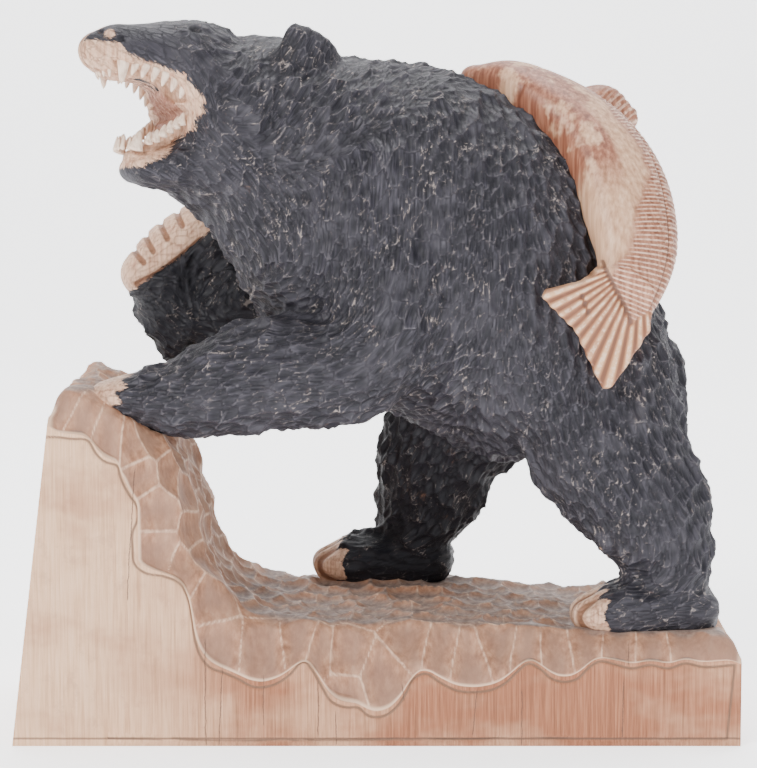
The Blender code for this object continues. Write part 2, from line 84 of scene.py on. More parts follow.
ARMPIT = [(-106, 52, 204, 11, 11, 11), (-94, 46, 215, 14, 14, 14), (-78, 40, 226, 13, 13, 13)]
LOWER_LIP = [(43, -22), (52, -30), (66, -44), (84, -47), (86, -60), (66, -60), (54, -52), (42, -34)]
TONGUE = [(44, 0, -34, 9, 3, 5), (54, 0, -43, 11, 4, 7), (66, 0, -51, 9, 3, 6)]
MOUTH = [(43, -24), (64, -12), (112, -9), (112, -34), (84, -47), (60, -42)]
MOUTH_SIDE = [(45, -19), (56, -7), (68, -3.5), (90, -1), (100, -3), (100, -14), (60, -18)]
MOUTH_SIDE_FROM = 10.5      # the roof stands lower between the two rows of teeth
MOUTH_REACH = 60            # the mouth is cut right through, from cheek to cheek
LIP, SIDE_LIP = 2.6, 3.4    # width of the bare wood round the mouth
TOES_FROM, CLAW_STEP = 58, 11.5
ELSEWHERE = -20.0           # written where no bare wood is near
BLOCK_VOXEL = 2.2           # first rough block
SKIN_VOXEL = 1.15           # finished skin
LOCK = (14.0, 6.2, 2.1)     # one lock of fur: length, width, depth of the cut
HAIR = (10.0, 3.0, 0.28)    # one hair stroke inside it
STAIN_DARK = (0.0075, 0.0072, 0.0110)
STAIN_MID = (0.022, 0.0205, 0.029)
STAIN_LIGHT = (0.058, 0.054, 0.068)
RUBBED = (0.40, 0.335, 0.30)
RAW_WOOD = (0.58, 0.36, 0.245)
# painted shade colour of the bare wood in the hollows
RAW_WOOD_SHADE = (0.24, 0.115, 0.065)
random = np.random.RandomState(11)


def unit(v):
    """Vectors of length one: each divided by its own length."""
    return v / np.maximum(np.linalg.norm(v, axis=-1, keepdims=True), 1e-9)


def smooth_path(rows, count):
    """Smooth curve through the rows: cubic steps with the slopes of the rows' neighbours."""
    rows = np.asarray(rows, float)
    knots = np.concatenate([[0.0], np.cumsum(np.linalg.norm(np.diff(rows[:, :3], axis=0), axis=1))])
    slope = np.gradient(rows, knots, axis=0)
    at = np.linspace(0.0, knots[-1], count)
    k = np.clip(np.searchsorted(knots, at, side="right") - 1, 0, len(rows) - 2)
    span = (knots[k + 1] - knots[k])[:, None]
    w = (at - knots[k])[:, None] / span
    return ((2 * w**3 - 3 * w**2 + 1) * rows[k] + (w**3 - 2 * w**2 + w) * span * slope[k]
            + (3 * w**2 - 2 * w**3) * rows[k + 1] + (w**3 - w**2) * span * slope[k + 1])


def tube(rows, up, count=40, sides=40, power=2.2, caps=7):
    """Rounded tube along a path: superellipse rings of half-width, reach above and reach below.

    A ring's point at angle a is centre + side * |cos a|^(2/power) * width + over * |sin a|^(2/power)
    * reach, and a dome of shrinking rings closes each end.
    """
    path = smooth_path(rows, count)
    centre, size = path[:, :3], path[:, 3:6]
    along = unit(np.gradient(centre, axis=0))
    side = unit(np.cross(np.broadcast_to(up, centre.shape), along))
    over = unit(np.cross(along, side))
    turn = np.linspace(0.0, 0.5 * math.pi, caps + 1)[1:]
    k = np.concatenate([np.zeros(caps, int), np.arange(count), np.full(caps, count - 1)])
    grow = np.concatenate([np.cos(turn[::-1]), np.ones(count), np.cos(turn)])
    slide = np.concatenate([-np.sin(turn[::-1]), np.zeros(count), np.sin(turn)])
    middle = centre[k] + along[k] * (slide * size[k, 1:].mean(axis=1))[:, None]
    angle = np.linspace(0.0, 2 * math.pi, sides, endpoint=False)
    ca = np.sign(np.cos(angle)) * np.abs(np.cos(angle)) ** (2 / power)
    sa = np.sign(np.sin(angle)) * np.abs(np.sin(angle)) ** (2 / power)
    reach = np.where(sa > 0, size[k, 1:2], size[k, 2:3])
    rings = (middle[:, None] + side[k][:, None] * (ca * size[k, :1] * grow[:, None])[..., None]
             + over[k][:, None] * (sa * reach * grow[:, None])[..., None])
    points = np.concatenate([rings[0, :1], rings[1:-1].reshape(-1, 3), rings[-1, :1]])
    n = len(rings) - 2
    body = 1 + np.arange(n * sides).reshape(n, sides)
    nxt = np.roll(body, -1, axis=1)
    quads = np.stack([body[:-1], nxt[:-1], nxt[1:], body[1:]], axis=-1).reshape(-1, 4)
    first = np.stack([np.zeros(sides, int), nxt[0], body[0]], axis=-1)
    last = np.stack([np.full(sides, len(points) - 1), body[-1], nxt[-1]], axis=-1)
    return points, quads.tolist() + first.tolist() + last.tolist()


def mesh_object(name, parts):
    """One mesh object from several point arrays and face lists, given in millimetres."""
    points = np.concatenate([p for p, _ in parts]) * MM
    starts = np.cumsum([0] + [len(p) for p, _ in parts])
    faces = [tuple(i + s for i in f) for (_, polygons), s in zip(parts, starts) for f in polygons]
    mesh = bpy.data.meshes.new(name)
    mesh.from_pydata(points.tolist(), [], faces)
    mesh.update()
    obj = bpy.data.objects.new(name, mesh)
    bpy.context.scene.collection.objects.link(obj)
    return obj


def settle(obj):
    """The object's mesh becomes what its modifiers make of it."""
    mesh = bpy.data.meshes.new_from_object(obj.evaluated_get(bpy.context.evaluated_depsgraph_get()))
    obj.modifiers.clear()
    old = obj.data
    obj.data = mesh
    bpy.data.meshes.remove(old)


def melt(obj, voxel):
    """Melt overlapping volumes into one skin of even squares, voxel millimetres wide."""
    step = obj.modifiers.new("melt", "REMESH")
    step.mode = "VOXEL"
    step.voxel_size = voxel * MM
    settle(obj)


def face_out(mesh):
    """Turn the faces of closed shells outwards."""
    bm = bmesh.new()
    bm.from_mesh(mesh)
    bmesh.ops.recalc_face_normals(bm, faces=bm.faces)
    bm.to_mesh(mesh)
    bm.free()


def cut_away(obj, cutter):
    """Take the cutter's volume out of the object and remove the cutter."""
    step = obj.modifiers.new("cut", "BOOLEAN")
    step.operation = "DIFFERENCE"
    step.solver = "EXACT"
    step.object = cutter
    settle(obj)
    bpy.data.objects.remove(cutter, do_unlink=True)


def places(mesh):
    """Vertex places in millimetres, one row each."""
    co = np.empty(len(mesh.vertices) * 3, np.float32)
    mesh.vertices.foreach_get("co", co)
    return co.reshape(-1, 3) / MM


def outward(mesh):
    """Vertex normals, one row each."""
    no = np.empty(len(mesh.vertices) * 3, np.float32)
    mesh.vertex_normals.foreach_get("vector", no)
    return no.reshape(-1, 3)


def put(mesh, co):
    """Write vertex places, given in millimetres, back into the mesh."""
    mesh.vertices.foreach_set("co", (co * MM).astype(np.float32).ravel())
    mesh.update()


def edge_ends(mesh):
    """The two vertex numbers of every edge, as two arrays."""
    ends = np.empty(len(mesh.edges) * 2, np.int32)
    mesh.edges.foreach_get("vertices", ends)
    return ends[::2], ends[1::2]


def relax(mesh, rounds):
    """Smooth: every vertex goes half way to the mean of its neighbours, as often as rounds says."""
    a, b = edge_ends(mesh)
    co = places(mesh).astype(float)
    n = len(co)
    count = np.bincount(a, minlength=n) + np.bincount(b, minlength=n)
    for _ in range(rounds):
        total = np.stack([np.bincount(a, co[b, k], n) + np.bincount(b, co[a, k], n) for k in range(3)],
                         axis=1)
        co += 0.5 * (total / count[:, None] - co)
    put(mesh, co)


def neighbour_table(mesh):
    """For every vertex, the numbers of its neighbours, filled up with its own."""
    a, b = edge_ends(mesh)
    source = np.concatenate([a, b])
    target = np.concatenate([b, a])
    order = np.argsort(source, kind="stable")
    source, target = source[order], target[order]
    rank = np.arange(len(source)) - np.searchsorted(source, source)
    table = np.repeat(np.arange(len(mesh.vertices))[:, None], rank.max() + 1, axis=1)
    table[source, rank] = target
    return table


def cut_measure(gap, run, length, width):
    """Stretched distance from a cut's middle: 1 at its sides and at its ends."""
    squeeze = 1.0 - (width / length) ** 2
    full = np.einsum("...k,...k->...", gap, gap)
    return np.sqrt(np.maximum(full - squeeze * np.einsum("...k,...k->...", gap, run) ** 2, 0.0)) * 2 / width


def nearest_cuts(co, table, seeds, run, length, width, rounds):
    """Flood the surface from the cuts' middles: each vertex's nearest cut and the one after it.

    Every round each vertex looks at its neighbours' cuts and keeps the nearest in cut_measure.
    """
    n = len(co)
    middle, lie = co[seeds], run[seeds]
    best = np.full(n, -1)
    best[seeds] = np.arange(len(seeds))
    far = np.full(n, 1e9, np.float32)
    for _ in range(rounds):
        pick = best[table]
        d = cut_measure(co[:, None] - middle[pick], lie[pick], length, width)
        d[pick < 0] = 1e9
        k = d.argmin(axis=1)
        rows = np.arange(n)
        best = np.where(d[rows, k] < far, pick[rows, k], best)
        far = np.minimum(far, d[rows, k])
    second = np.full(n, -1)
    for _ in range(4):
        pick = np.concatenate([best[table], second[table]], axis=1)
        d = cut_measure(co[:, None] - middle[pick], lie[pick], length, width)
        d[(pick < 0) | (pick == best[:, None])] = 1e9
        k = d.argmin(axis=1)
        second = np.where(d[np.arange(n), k] < 1e8, pick[np.arange(n), k], -1)
    return best, second, far


def gouge_field(co, no, table, run, size, rng, rounds):
    """Relief of long gouge cuts: each vertex's local place in its cut and its way to the ridge.

    Returns the place across and along the cut, the stretched distance from its middle, the distance
    in millimetres to the ridge between it and the next cut, and the cut's number.
    """
    length, width = size[:2]
    area = SKIN_VOXEL**2 * len(co)
    seeds = rng.permutation(len(co))[:int(1.9 * area / (length * width))]
    best, second, far = nearest_cuts(co, table, seeds, run, length, width, rounds)
    middle, lie = co[seeds], run[seeds]
    gap = co - middle[best]
    along = np.sum(gap * lie[best], axis=1)
    across = np.sum(gap * np.cross(no[seeds][best], lie[best]), axis=1)
    other = np.where(second < 0, best, second)
    squeeze = 1.0 - (width / length) ** 2
    gap2 = co - middle[other]
    far2 = np.where(second < 0, 9.0, cut_measure(gap2, lie[other], length, width))
    slope = (gap - squeeze * along[:, None] * lie[best]) / np.maximum(far, 0.05)[:, None]
    slope2 = gap2 - squeeze * np.sum(gap2 * lie[other], axis=1)[:, None] * lie[other]
    slope2 = slope2 / np.maximum(far2, 0.05)[:, None]
    steep = np.linalg.norm(slope2 - slope, axis=1) * (2 / width) ** 2
    ridge = (far2 - far) / np.maximum(steep, 0.02)
    return across, along, far, ridge, best


def head_axes():
    """Forward, left and up of the head: level axes turned by the yaw, then the pitch, then the roll."""
    yaw, pitch, roll = (math.radians(a) for a in (HEAD_YAW, HEAD_PITCH, HEAD_ROLL))
    up = np.array([0.0, 0.0, 1.0])
    forward = np.array([-math.cos(yaw), -math.sin(yaw), 0.0])
    left = np.cross(up, forward)
    forward, up = (forward * math.cos(pitch) + up * math.sin(pitch),
                   up * math.cos(pitch) - forward * math.sin(pitch))
    left, up = (left * math.cos(roll) + up * math.sin(roll), up * math.cos(roll) - left * math.sin(roll))
    return np.array([forward, left, up])


def on_head(rows):
    """Rows given along the head's axes, placed on the bear."""
    rows = np.asarray(rows, float).copy()
    rows[:, :3] = rows[:, :3] @ head_axes() + HEAD_AT
    return rows


def moved(rows, shift):
    """The same rows in another place."""
    rows = np.asarray(rows, float).copy()
    rows[:, :3] += shift
    return rows


def placed(points):
    """From the bear's own millimetres to millimetres on the floor."""
    return np.asarray(points, float) + (-MIDDLE, 0.0, SOLES)


head_side, head_up = head_axes()[1], head_axes()[2]
ahead = (-1.0, 0.0, 0.35)
upright = (0.0, 0.0, 1.0)
limbs = [
    ("trunk", TRUNK, upright), ("skull", on_head(SKULL), head_up), ("muzzle", on_head(MUZZLE), head_up),
    ("jaw", on_head(JAW), head_up), ("near_ear", on_head(EAR), head_side),
    ("far_ear", on_head([(f, -l, u, a, b, c) for f, l, u, a, b, c in EAR]), -head_side),
    ("near_foreleg", NEAR_FORELEG, ahead), ("far_foreleg", FAR_FORELEG, ahead),
    ("armpit", ARMPIT, (-0.6, 0.0, 0.8)),
    ("far_paw", FAR_PAW, (-0.6, 0.0, 0.8)), ("near_hindleg", NEAR_HINDLEG, ahead),
    ("far_hindleg", FAR_HINDLEG, ahead), ("tail_stub", STUB, ahead),
    ("near_foot", moved(FOOT, NEAR_FOOT_AT), upright), ("far_foot", moved(FOOT, FAR_FOOT_AT), upright),
]


def lie_of_fur(points):
    """Lie of the fur: a mean of the nearest limbs' run, and back and down on body and head."""
    lines, runs = [], []
    for name, rows, _ in limbs:
        path = smooth_path(rows, 16)[:, :3]
        run = unit(np.gradient(path, axis=0))
        if name in ("trunk", "muzzle", "skull", "jaw"):
            run = unit(run * (1.0 if name == "skull" else -1.0) + (0.25, 0.0, -0.75))
        lines.append(placed(path))
        runs.append(run)
    lines, runs = np.concatenate(lines), np.concatenate(runs)
    flow = np.empty_like(points)
    for start in range(0, len(points), 20000):
        part = points[start:start + 20000]
        gap = np.sqrt(np.maximum((part**2).sum(1)[:, None] + (lines**2).sum(1) - 2 * part @ lines.T, 0))
        flow[start:start + 20000] = np.exp(-(gap - gap.min(axis=1, keepdims=True)) / 8.0) @ runs
    return unit(flow)


def from_outline(x, z, outline):
    """Distance in millimetres to a closed flat outline, positive inside it."""
    a = np.array(outline, float)
    b = np.roll(a, -1, axis=0)
    nearest = np.full(x.shape, 1e9)
    inside = np.zeros(x.shape, bool)
    for (ax, az), (bx, bz) in zip(a, b):
        t = np.clip(((x - ax) * (bx - ax) + (z - az) * (bz - az)) / ((bx - ax) ** 2 + (bz - az) ** 2), 0, 1)
        nearest = np.minimum(nearest, np.hypot(x - ax - t * (bx - ax), z - az - t * (bz - az)))
        inside ^= ((az > z) != (bz > z)) & (x < ax + (z - az) * (bx - ax) / (bz - az + 1e-12))
    return np.where(inside, nearest, -nearest)


bear = mesh_object("bear", [tube(rows, up) for _, rows, up in limbs])
put(bear.data, placed(places(bear.data)))
melt(bear, BLOCK_VOXEL)
relax(bear.data, 11)


def mouth_cutter(outline, near, far):
    """A flat outline in the head's forward and up, carried from one side to the other."""
    n = len(outline)
    ends = [np.array([(f, side, u) for f, u in outline]) @ head_axes() + HEAD_AT for side in (near, far)]
    walls = [(i, (i + 1) % n, n + (i + 1) % n, n + i) for i in range(n)]
    polygons = [tuple(range(n))[::-1], tuple(range(n, 2 * n))] + walls
    made = mesh_object("mouth", [(placed(np.concatenate(ends)), polygons)])
    face_out(made.data)
    return made


cut_away(bear, mouth_cutter(MOUTH, -MOUTH_REACH, MOUTH_REACH))
cut_away(bear, mouth_cutter(MOUTH_SIDE, MOUTH_SIDE_FROM, MOUTH_REACH))
cut_away(bear, mouth_cutter(MOUTH_SIDE, -MOUTH_REACH, -MOUTH_SIDE_FROM))
tongue = mesh_object("tongue", [tube(on_head(TONGUE), head_up, 12, 16)])
put(tongue.data, placed(places(tongue.data)))
bm = bmesh.new()
bm.from_mesh(bear.data)
bm.from_mesh(tongue.data)
bm.to_mesh(bear.data)
bm.free()
bpy.data.objects.remove(tongue, do_unlink=True)
melt(bear, SKIN_VOXEL)
relax(bear.data, 7)

co = places(bear.data).astype(np.float32)
no = outward(bear.data)
table = neighbour_table(bear.data)
run = lie_of_fur(co.astype(float))
run = unit(run - no * np.sum(run * no, axis=1, keepdims=True)).astype(np.float32)
head = (co - placed([(0, 0, 0)]) - HEAD_AT) @ head_axes().T
f, l, u = head.T
own = co - placed([(0, 0, 0)])
x, y, z = own.T
in_head = (f > 30) & (np.abs(l) < 50) & (u > -90)

# The raw wood: inside of the mouth, front of the snout, pads and claws, as millimetres from its edge
SNOUT_PALE = [(125, -20), (125, 7), (97, 7.5), (92, 7.5), (88, 4.5), (84.5, 0.5), (78, -4), (78, -20)]
CHIN_PALE = [(100, -40), (100, -62), (70, -60), (63, -55.5), (57, -50), (57, -40)]
side_edge = np.where(np.abs(l) > 9, from_outline(f, u, MOUTH_SIDE) + SIDE_LIP, ELSEWHERE)
mouth_edge = np.maximum(from_outline(f, u, MOUTH) + LIP, side_edge)
mouth_edge = np.where((f > 38) & (np.abs(l) < 50), mouth_edge, ELSEWHERE)
snout = np.where(in_head, from_outline(f, u, SNOUT_PALE), ELSEWHERE)
chin = np.where(in_head, np.maximum(from_outline(f, u, CHIN_PALE), from_outline(f, u, LOWER_LIP)), ELSEWHERE)
philtrum = np.where(in_head & (f > 90) & (u < 23), 2.4 - np.abs(l), ELSEWHERE)
nostril_patch = 3.2 - np.linalg.norm((head - (96, 11.5, 12.0)) * (1, 0.9, 1.1), axis=1)
FAR_PAD = [(-100, 262), (-97, 230), (-109, 219), (-121, 208), (-133, 201), (-147, 190), (-175, 180),
           (-175, 262)]
paw_path = smooth_path(FAR_PAW, 16)[:, :3]
paw_reach = np.sqrt(((own[:, None] - paw_path[None]) ** 2).sum(axis=2).min(axis=1))
far_pad = np.where((paw_reach < 27) & (y > 24), from_outline(x, z, FAR_PAD), ELSEWHERE)
NEAR_PAD = [(-185, 170), (-146, 170), (-140, 156), (-139, 150), (-147, 146), (-143, 142), (-150, 139),
            (-146, 134), (-160, 128), (-185, 120)]
near_pad = np.where((y < -30) & (z > 120), from_outline(x, z, NEAR_PAD), ELSEWHERE)
bare = np.max([mouth_edge, snout, chin, philtrum, nostril_patch, far_pad, near_pad], axis=0)
TOES = [(at[0] - TOES_FROM, at[1]) for at in (NEAR_FOOT_AT, FAR_FOOT_AT)]
for tx, ty in TOES:
    reach = 16.0 + 3.5 * np.cos((y - ty) * 2 * math.pi / CLAW_STEP)
    front_of_foot = (z < 45) & (np.abs(x - tx) < 40) & (np.abs(y - ty) < 34)
    bare = np.maximum(bare, np.where(front_of_foot, reach - (x - tx), ELSEWHERE))

# Relief: the locks, the strokes inside them, then the features of the head and paws
calm = np.clip(bare / 3.0 + 1.0, 0, 1)
muzzle = np.clip((f - 48) / 25.0, 0, 1) * (np.abs(l) < 45) * (u > -90)
soles = np.clip((34 - z) / 20.0, 0, 1) * (x > -60)
lock_across, lock_along, lock_far, lock_ridge, lock_number = gouge_field(co, no, table, run, LOCK, random, 24)
_, _, hair_far, hair_ridge, _ = gouge_field(co, no, table, run, HAIR, random, 13)
face = np.clip((f - 5) / 40.0, 0, 1) * (np.abs(l) < 60) * (u > -95)
by_ear = np.clip((36 - np.hypot(head[:, 0] + 15, head[:, 2] - 22)) / 10, 0, 1) * (u > 14)
strength = (1 - 0.6 * by_ear) * (1 - calm) * (1 - 0.92 * muzzle) * (1 - 0.55 * face) * (1 - 0.7 * soles)
shift = strength * (1.4 - LOCK[2] * (1 - np.minimum(lock_far**2, 1.6)) + 1.3 * lock_along / LOCK[0])
shift -= (1 - calm) * (1 - 0.6 * muzzle) * HAIR[2] * (1 - np.minimum(hair_far**2, 1.6))


def pit(points, centre, reach, depth):
    """A round hollow: depth * (1 - (distance / reach)^2)^2 inside its reach."""
    d = np.linalg.norm(points - np.asarray(centre), axis=1) / reach
    return -depth * np.clip(1 - d**2, 0, 1) ** 2


def groove(points, path, reach, depth):
    """A hollow along a path of points: the same bowl at the distance from the nearest point."""
    path = smooth_path(np.asarray(path, float), 24)
    d = np.sqrt(((points[:, None] - path[None]) ** 2).sum(axis=2).min(axis=1)) / reach
    return -depth * np.clip(1 - d**2, 0, 1) ** 2


for side in (1, -1):
    mirror = head * (1, side, 1)
    near = (np.abs(head - (70, side * 15, 0)) < (45, 40, 45)).all(axis=1)
    part = mirror[near]
    shift[near] += pit(part, (50, 27, 25), 5.0, 3.4) + pit(part, (44, 25, 33), 11.0, -2.2)
    shift[near] += pit(part, (53, 30, 18), 8.0, -1.2)
    shift[near] += groove(part, [(103, 5, 19), (99, 7, 12), (95, 12, 9), (90, 17, 9.5)], 3.0, 2.3)
    shift[near] += pit(part, (96, 12, 15), 5.0, -1.2)
    shift[near] += pit(part, (84, 19, 3), 12.0, -1.2)
    ear = (np.linalg.norm(mirror - (-12, 48, 22), axis=1) < 30)
    shift[ear] += pit(mirror[ear], (1, 46, 22), 11.0, 4.0)
snout_front = (f > 88) & in_head
shift += np.where(snout_front & (u > -14) & (u < 24), -1.0 * np.clip(1 - np.abs(l) / 2.2, 0, 1), 0.0)
roof = (np.abs(from_outline(f, u, MOUTH)) < 2.4) & (u > -22) & (f > 46) & (np.abs(l) < 40)
shift += np.where(roof, 0.55 * np.cos((l + 0.10 * (f - 60)) * 2 * math.pi / 3.3), 0.0)
PAD_NOTCHES = [[(-125, 40, 240), (-119, 34, 229)], [(-135, 40, 232), (-128, 34, 221)],
               [(-144, 41, 224), (-137, 36, 213)], [(-150, 42, 213), (-143, 38, 206)]]
PAD_EDGE = [(-147, 0, 192), (-134, 0, 199), (-121, 0, 208), (-107, 0, 220)]
hand = (y > 25) & (x < -90) & (z > 180)
for notch in PAD_NOTCHES:
    shift[hand] += groove(own[hand] * (1, 0, 1), np.array(notch) * (1, 0, 1), 2.8, 2.3)
shift[hand] += groove(own[hand] * (1, 0, 1), PAD_EDGE, 3.2, 2.4)
for tx, ty in TOES:
    toe = (np.abs(x - tx - 8) < 16) & (z < 48) & (np.abs(y - ty) < 32)
    claws = 1.3 * np.cos((y[toe] - ty) * 2 * math.pi / CLAW_STEP) - 0.6
    shift[toe] += claws * np.clip(1 - np.abs(x[toe] - tx - 4) / 14, 0, 1)
put(bear.data, co + no * shift[:, None])
relax(bear.data, 1)


def store(mesh, name, values):
    """Keep one number, or three, for every vertex, for the material to read."""
    values = np.asarray(values, np.float32)
    kind, field = ("FLOAT", "value") if values.ndim == 1 else ("FLOAT_VECTOR", "vector")
    mesh.attributes.new(name, kind, "POINT").data.foreach_set(field, values.ravel())


store(bear.data, "lock", np.stack([lock_across, lock_along, (lock_number * 7.31) % 97.0], axis=1))
store(bear.data, "ridge", np.where(strength > 0.25, np.minimum(lock_ridge, 9.0), 9.0))
store(bear.data, "hair", np.minimum(hair_ridge, 9.0))
store(bear.data, "bare", np.clip(bare, -20, 20))
depth_in = np.clip((from_outline(f, u, MOUTH) + 4.0) / 3.0, 0, 1) * np.clip((92 - f) / 30, 0.25, 1)
inside = np.where((f > 38) & (np.abs(l) < 17), depth_in, 0.0)
store(bear.data, "inside", inside)
# painted shade: how deep each vertex lies in the cut relief, read by the materials to darken the recesses
store(bear.data, "hollow", np.clip(-shift, -3, 3))
store(bear.data, "round", outward(bear.data))


def nodes_of(name):
    """A new material's tree, its shader and a short way to add a node and wire it up."""
    mat = bpy.data.materials.new(name)
    mat.use_nodes = True
    tree = mat.node_tree
    shader = tree.nodes["Principled BSDF"]

    def add(kind, inputs=None, **settings):
        """Add a node; inputs are plain values or another node's output."""
        made = tree.nodes.new("ShaderNode" + kind)
        for key, value in settings.items():
            setattr(made, key, value)
        for key, value in (inputs or {}).items():
            if isinstance(value, bpy.types.NodeSocket):
                tree.links.new(value, made.inputs[key])
            else:
                made.inputs[key].default_value = value
        return made

    return mat, tree, shader, add


def ramp(add, value, stops):
    """A colour ramp with the given places and colours."""
    made = add("ValToRGB", {"Fac": value})
    line = made.color_ramp
    for place, colour in stops[1:-1]:
        line.elements.new(place).color = (*colour, 1.0)
    line.elements[0].position, line.elements[0].color = stops[0][0], (*stops[0][1], 1.0)
    line.elements[-1].position, line.elements[-1].color = stops[-1][0], (*stops[-1][1], 1.0)
    return made.outputs["Color"]


def span(add, value, low, high, out_low=0.0, out_high=1.0):
    """Carry a value from one range to another with an even step, held at both ends."""
    made = add("MapRange", {"Value": value, "From Min": low, "From Max": high,
                            "To Min": out_low, "To Max": out_high}, interpolation_type="SMOOTHSTEP")
    return made.outputs["Result"]


def blend(add, share, first, second):
    """Mix two colours."""
    made = add("Mix", {"Factor": share}, data_type="RGBA")
    tree = made.id_data
    for socket, value in ((made.inputs[6], first), (made.inputs[7], second)):
        if isinstance(value, bpy.types.NodeSocket):
            tree.links.new(value, socket)
        else:
            socket.default_value = (*value, 1.0)
    return made.outputs[2]


def times(add, a, b, operation="MULTIPLY"):
    """One step of arithmetic on two values: a product, unless another operation is named."""
    made = add("Math", operation=operation)
    tree = made.id_data
    for socket, value in zip(made.inputs, (a, b)):
        if isinstance(value, bpy.types.NodeSocket):
            tree.links.new(value, socket)
        else:
            socket.default_value = value
    return made.outputs[0]


def grain(add, vector, scale, stretch=(1, 1, 1), detail=3.0, rough=0.55):
    """Noise on a stretched pattern space."""
    space = add("Mapping", {"Vector": vector, "Scale": tuple(scale * s for s in stretch)})
    noise = add("TexNoise", {"Vector": space.outputs[0], "Scale": 1.0, "Detail": detail, "Roughness": rough})
    return noise.outputs["Fac"]


stained, tree, shader, add = nodes_of("black stained wood")
place = add("TexCoord").outputs["Object"]
lock = add("Attribute", attribute_name="lock").outputs["Vector"]
ridge = add("Attribute", attribute_name="ridge").outputs["Fac"]
hair = add("Attribute", attribute_name="hair").outputs["Fac"]
bare_way = add("Attribute", attribute_name="bare").outputs["Fac"]
hollow = add("Attribute", attribute_name="hollow").outputs["Fac"]
inside_way = add("Attribute", attribute_name="inside").outputs["Fac"]
strokes = grain(add, lock, 1.0, (0.75, 0.07, 3.1), 4.0, 0.62)
fine = grain(add, place, 900.0, (1, 1, 1), 2.0)
cloud = grain(add, place, 38.0, (1, 1, 1), 3.0)
flecks = grain(add, place, 150.0, (1, 1, 0.6), 4.0, 0.7)
base = ramp(add, strokes, [(0.38, STAIN_DARK), (0.50, STAIN_MID), (0.64, STAIN_LIGHT)])
lock_parts = add("SeparateXYZ", {"Vector": lock})
number = lock_parts.outputs["Z"]
lower_end = span(add, lock_parts.outputs["Y"], -3.0, 3.5, 0.10, 1.0)
cut_tone = add("TexWhiteNoise", {"W": number}, noise_dimensions="1D").outputs["Value"]
base = blend(add, times(add, cut_tone, 0.60), base, STAIN_DARK)
# pale grey along the ridges at the cuts' lower ends: partly rubbed stain, partly a painted highlight on the
# ridge edges
base = blend(add, times(add, lower_end, span(add, ridge, 1.0, 0.10, 0.0, 0.62)), base, (0.120, 0.112, 0.128))
base = blend(add, span(add, cloud, 0.42, 0.66, 0.0, 0.55), base, (0.052, 0.049, 0.060))
# painted shade: the stain darkens towards its darkest the deeper the surface lies in a cut
low = span(add, hollow, -0.2, 1.0, 0.0, 0.70)
base = blend(add, low, base, STAIN_DARK)
# painted shade: the stain darkens on the far side of the bear, away from the viewer
far_side_shade = span(add, add("SeparateXYZ", {"Vector": place}).outputs["Y"], -0.02, 0.03, 0.0, 0.90)
base = blend(add, far_side_shade, base, STAIN_DARK)
handled = span(add, grain(add, place, 24.0, (1, 1, 1), 3.0), 0.40, 0.60, 0.12, 1.0)
worn = times(add, times(add, span(add, ridge, 0.50, 0.06), span(add, flecks, 0.47, 0.58)),
             times(add, handled, lower_end))
worn_hair = times(add, times(add, span(add, hair, 0.40, 0.05), span(add, flecks, 0.55, 0.66)), handled)
rubbed = times(add, worn, worn_hair, "MAXIMUM")
base = blend(add, times(add, rubbed, 0.85), base, RUBBED)
brown = span(add, grain(add, place, 55.0, (1, 1, 1), 4.0, 0.7), 0.64, 0.72, 0.0, 0.5)
base = blend(add, times(add, brown, span(add, strokes, 0.5, 0.6)), base, (0.20, 0.11, 0.075))
jag = times(add, times(add, strokes, 0.5, "SUBTRACT"), 9.0)
is_bare = span(add, times(add, bare_way, jag, "ADD"), -0.25, 0.35)
wood_line = grain(add, place, 520.0, (1, 1, 0.09), 3.0)
wood = ramp(add, wood_line, [(0.30, (0.38, 0.20, 0.125)), (0.47, RAW_WOOD), (0.72, (0.72, 0.49, 0.35))])
# painted shade: the bare wood darkens to deep brown in the hollows of the mouth and pads
wood = blend(add, span(add, hollow, 0.15, 1.1, 0.0, 0.95), wood, RAW_WOOD_SHADE)
red_wood = ramp(add, wood_line, [(0.30, (0.15, 0.045, 0.030)), (0.50, (0.30, 0.125, 0.085)),
                                 (0.72, (0.56, 0.33, 0.24))])
wood = blend(add, times(add, inside_way, 0.85), wood, red_wood)
dirt = span(add, grain(add, place, 190.0, (1, 1, 1), 4.0, 0.7), 0.54, 0.66, 0.0, 0.55)
wood = blend(add, dirt, wood, (0.36, 0.17, 0.11))
final = blend(add, is_bare, base, wood)
tree.links.new(final, shader.inputs["Base Color"])
tree.links.new(span(add, strokes, 0.3, 0.7, 0.62, 0.42), shader.inputs["Roughness"])
bumps = add("Bump", {"Strength": 0.8, "Distance": 0.0009, "Height": strokes})
bumps2 = add("Bump", {"Strength": 0.25, "Distance": 0.0003, "Height": fine, "Normal": bumps.outputs[0]})
tree.links.new(bumps2.outputs[0], shader.inputs["Normal"])
shader.inputs["Specular IOR Level"].default_value = 0.30
bear.data.materials.clear()
bear.data.materials.append(stained)


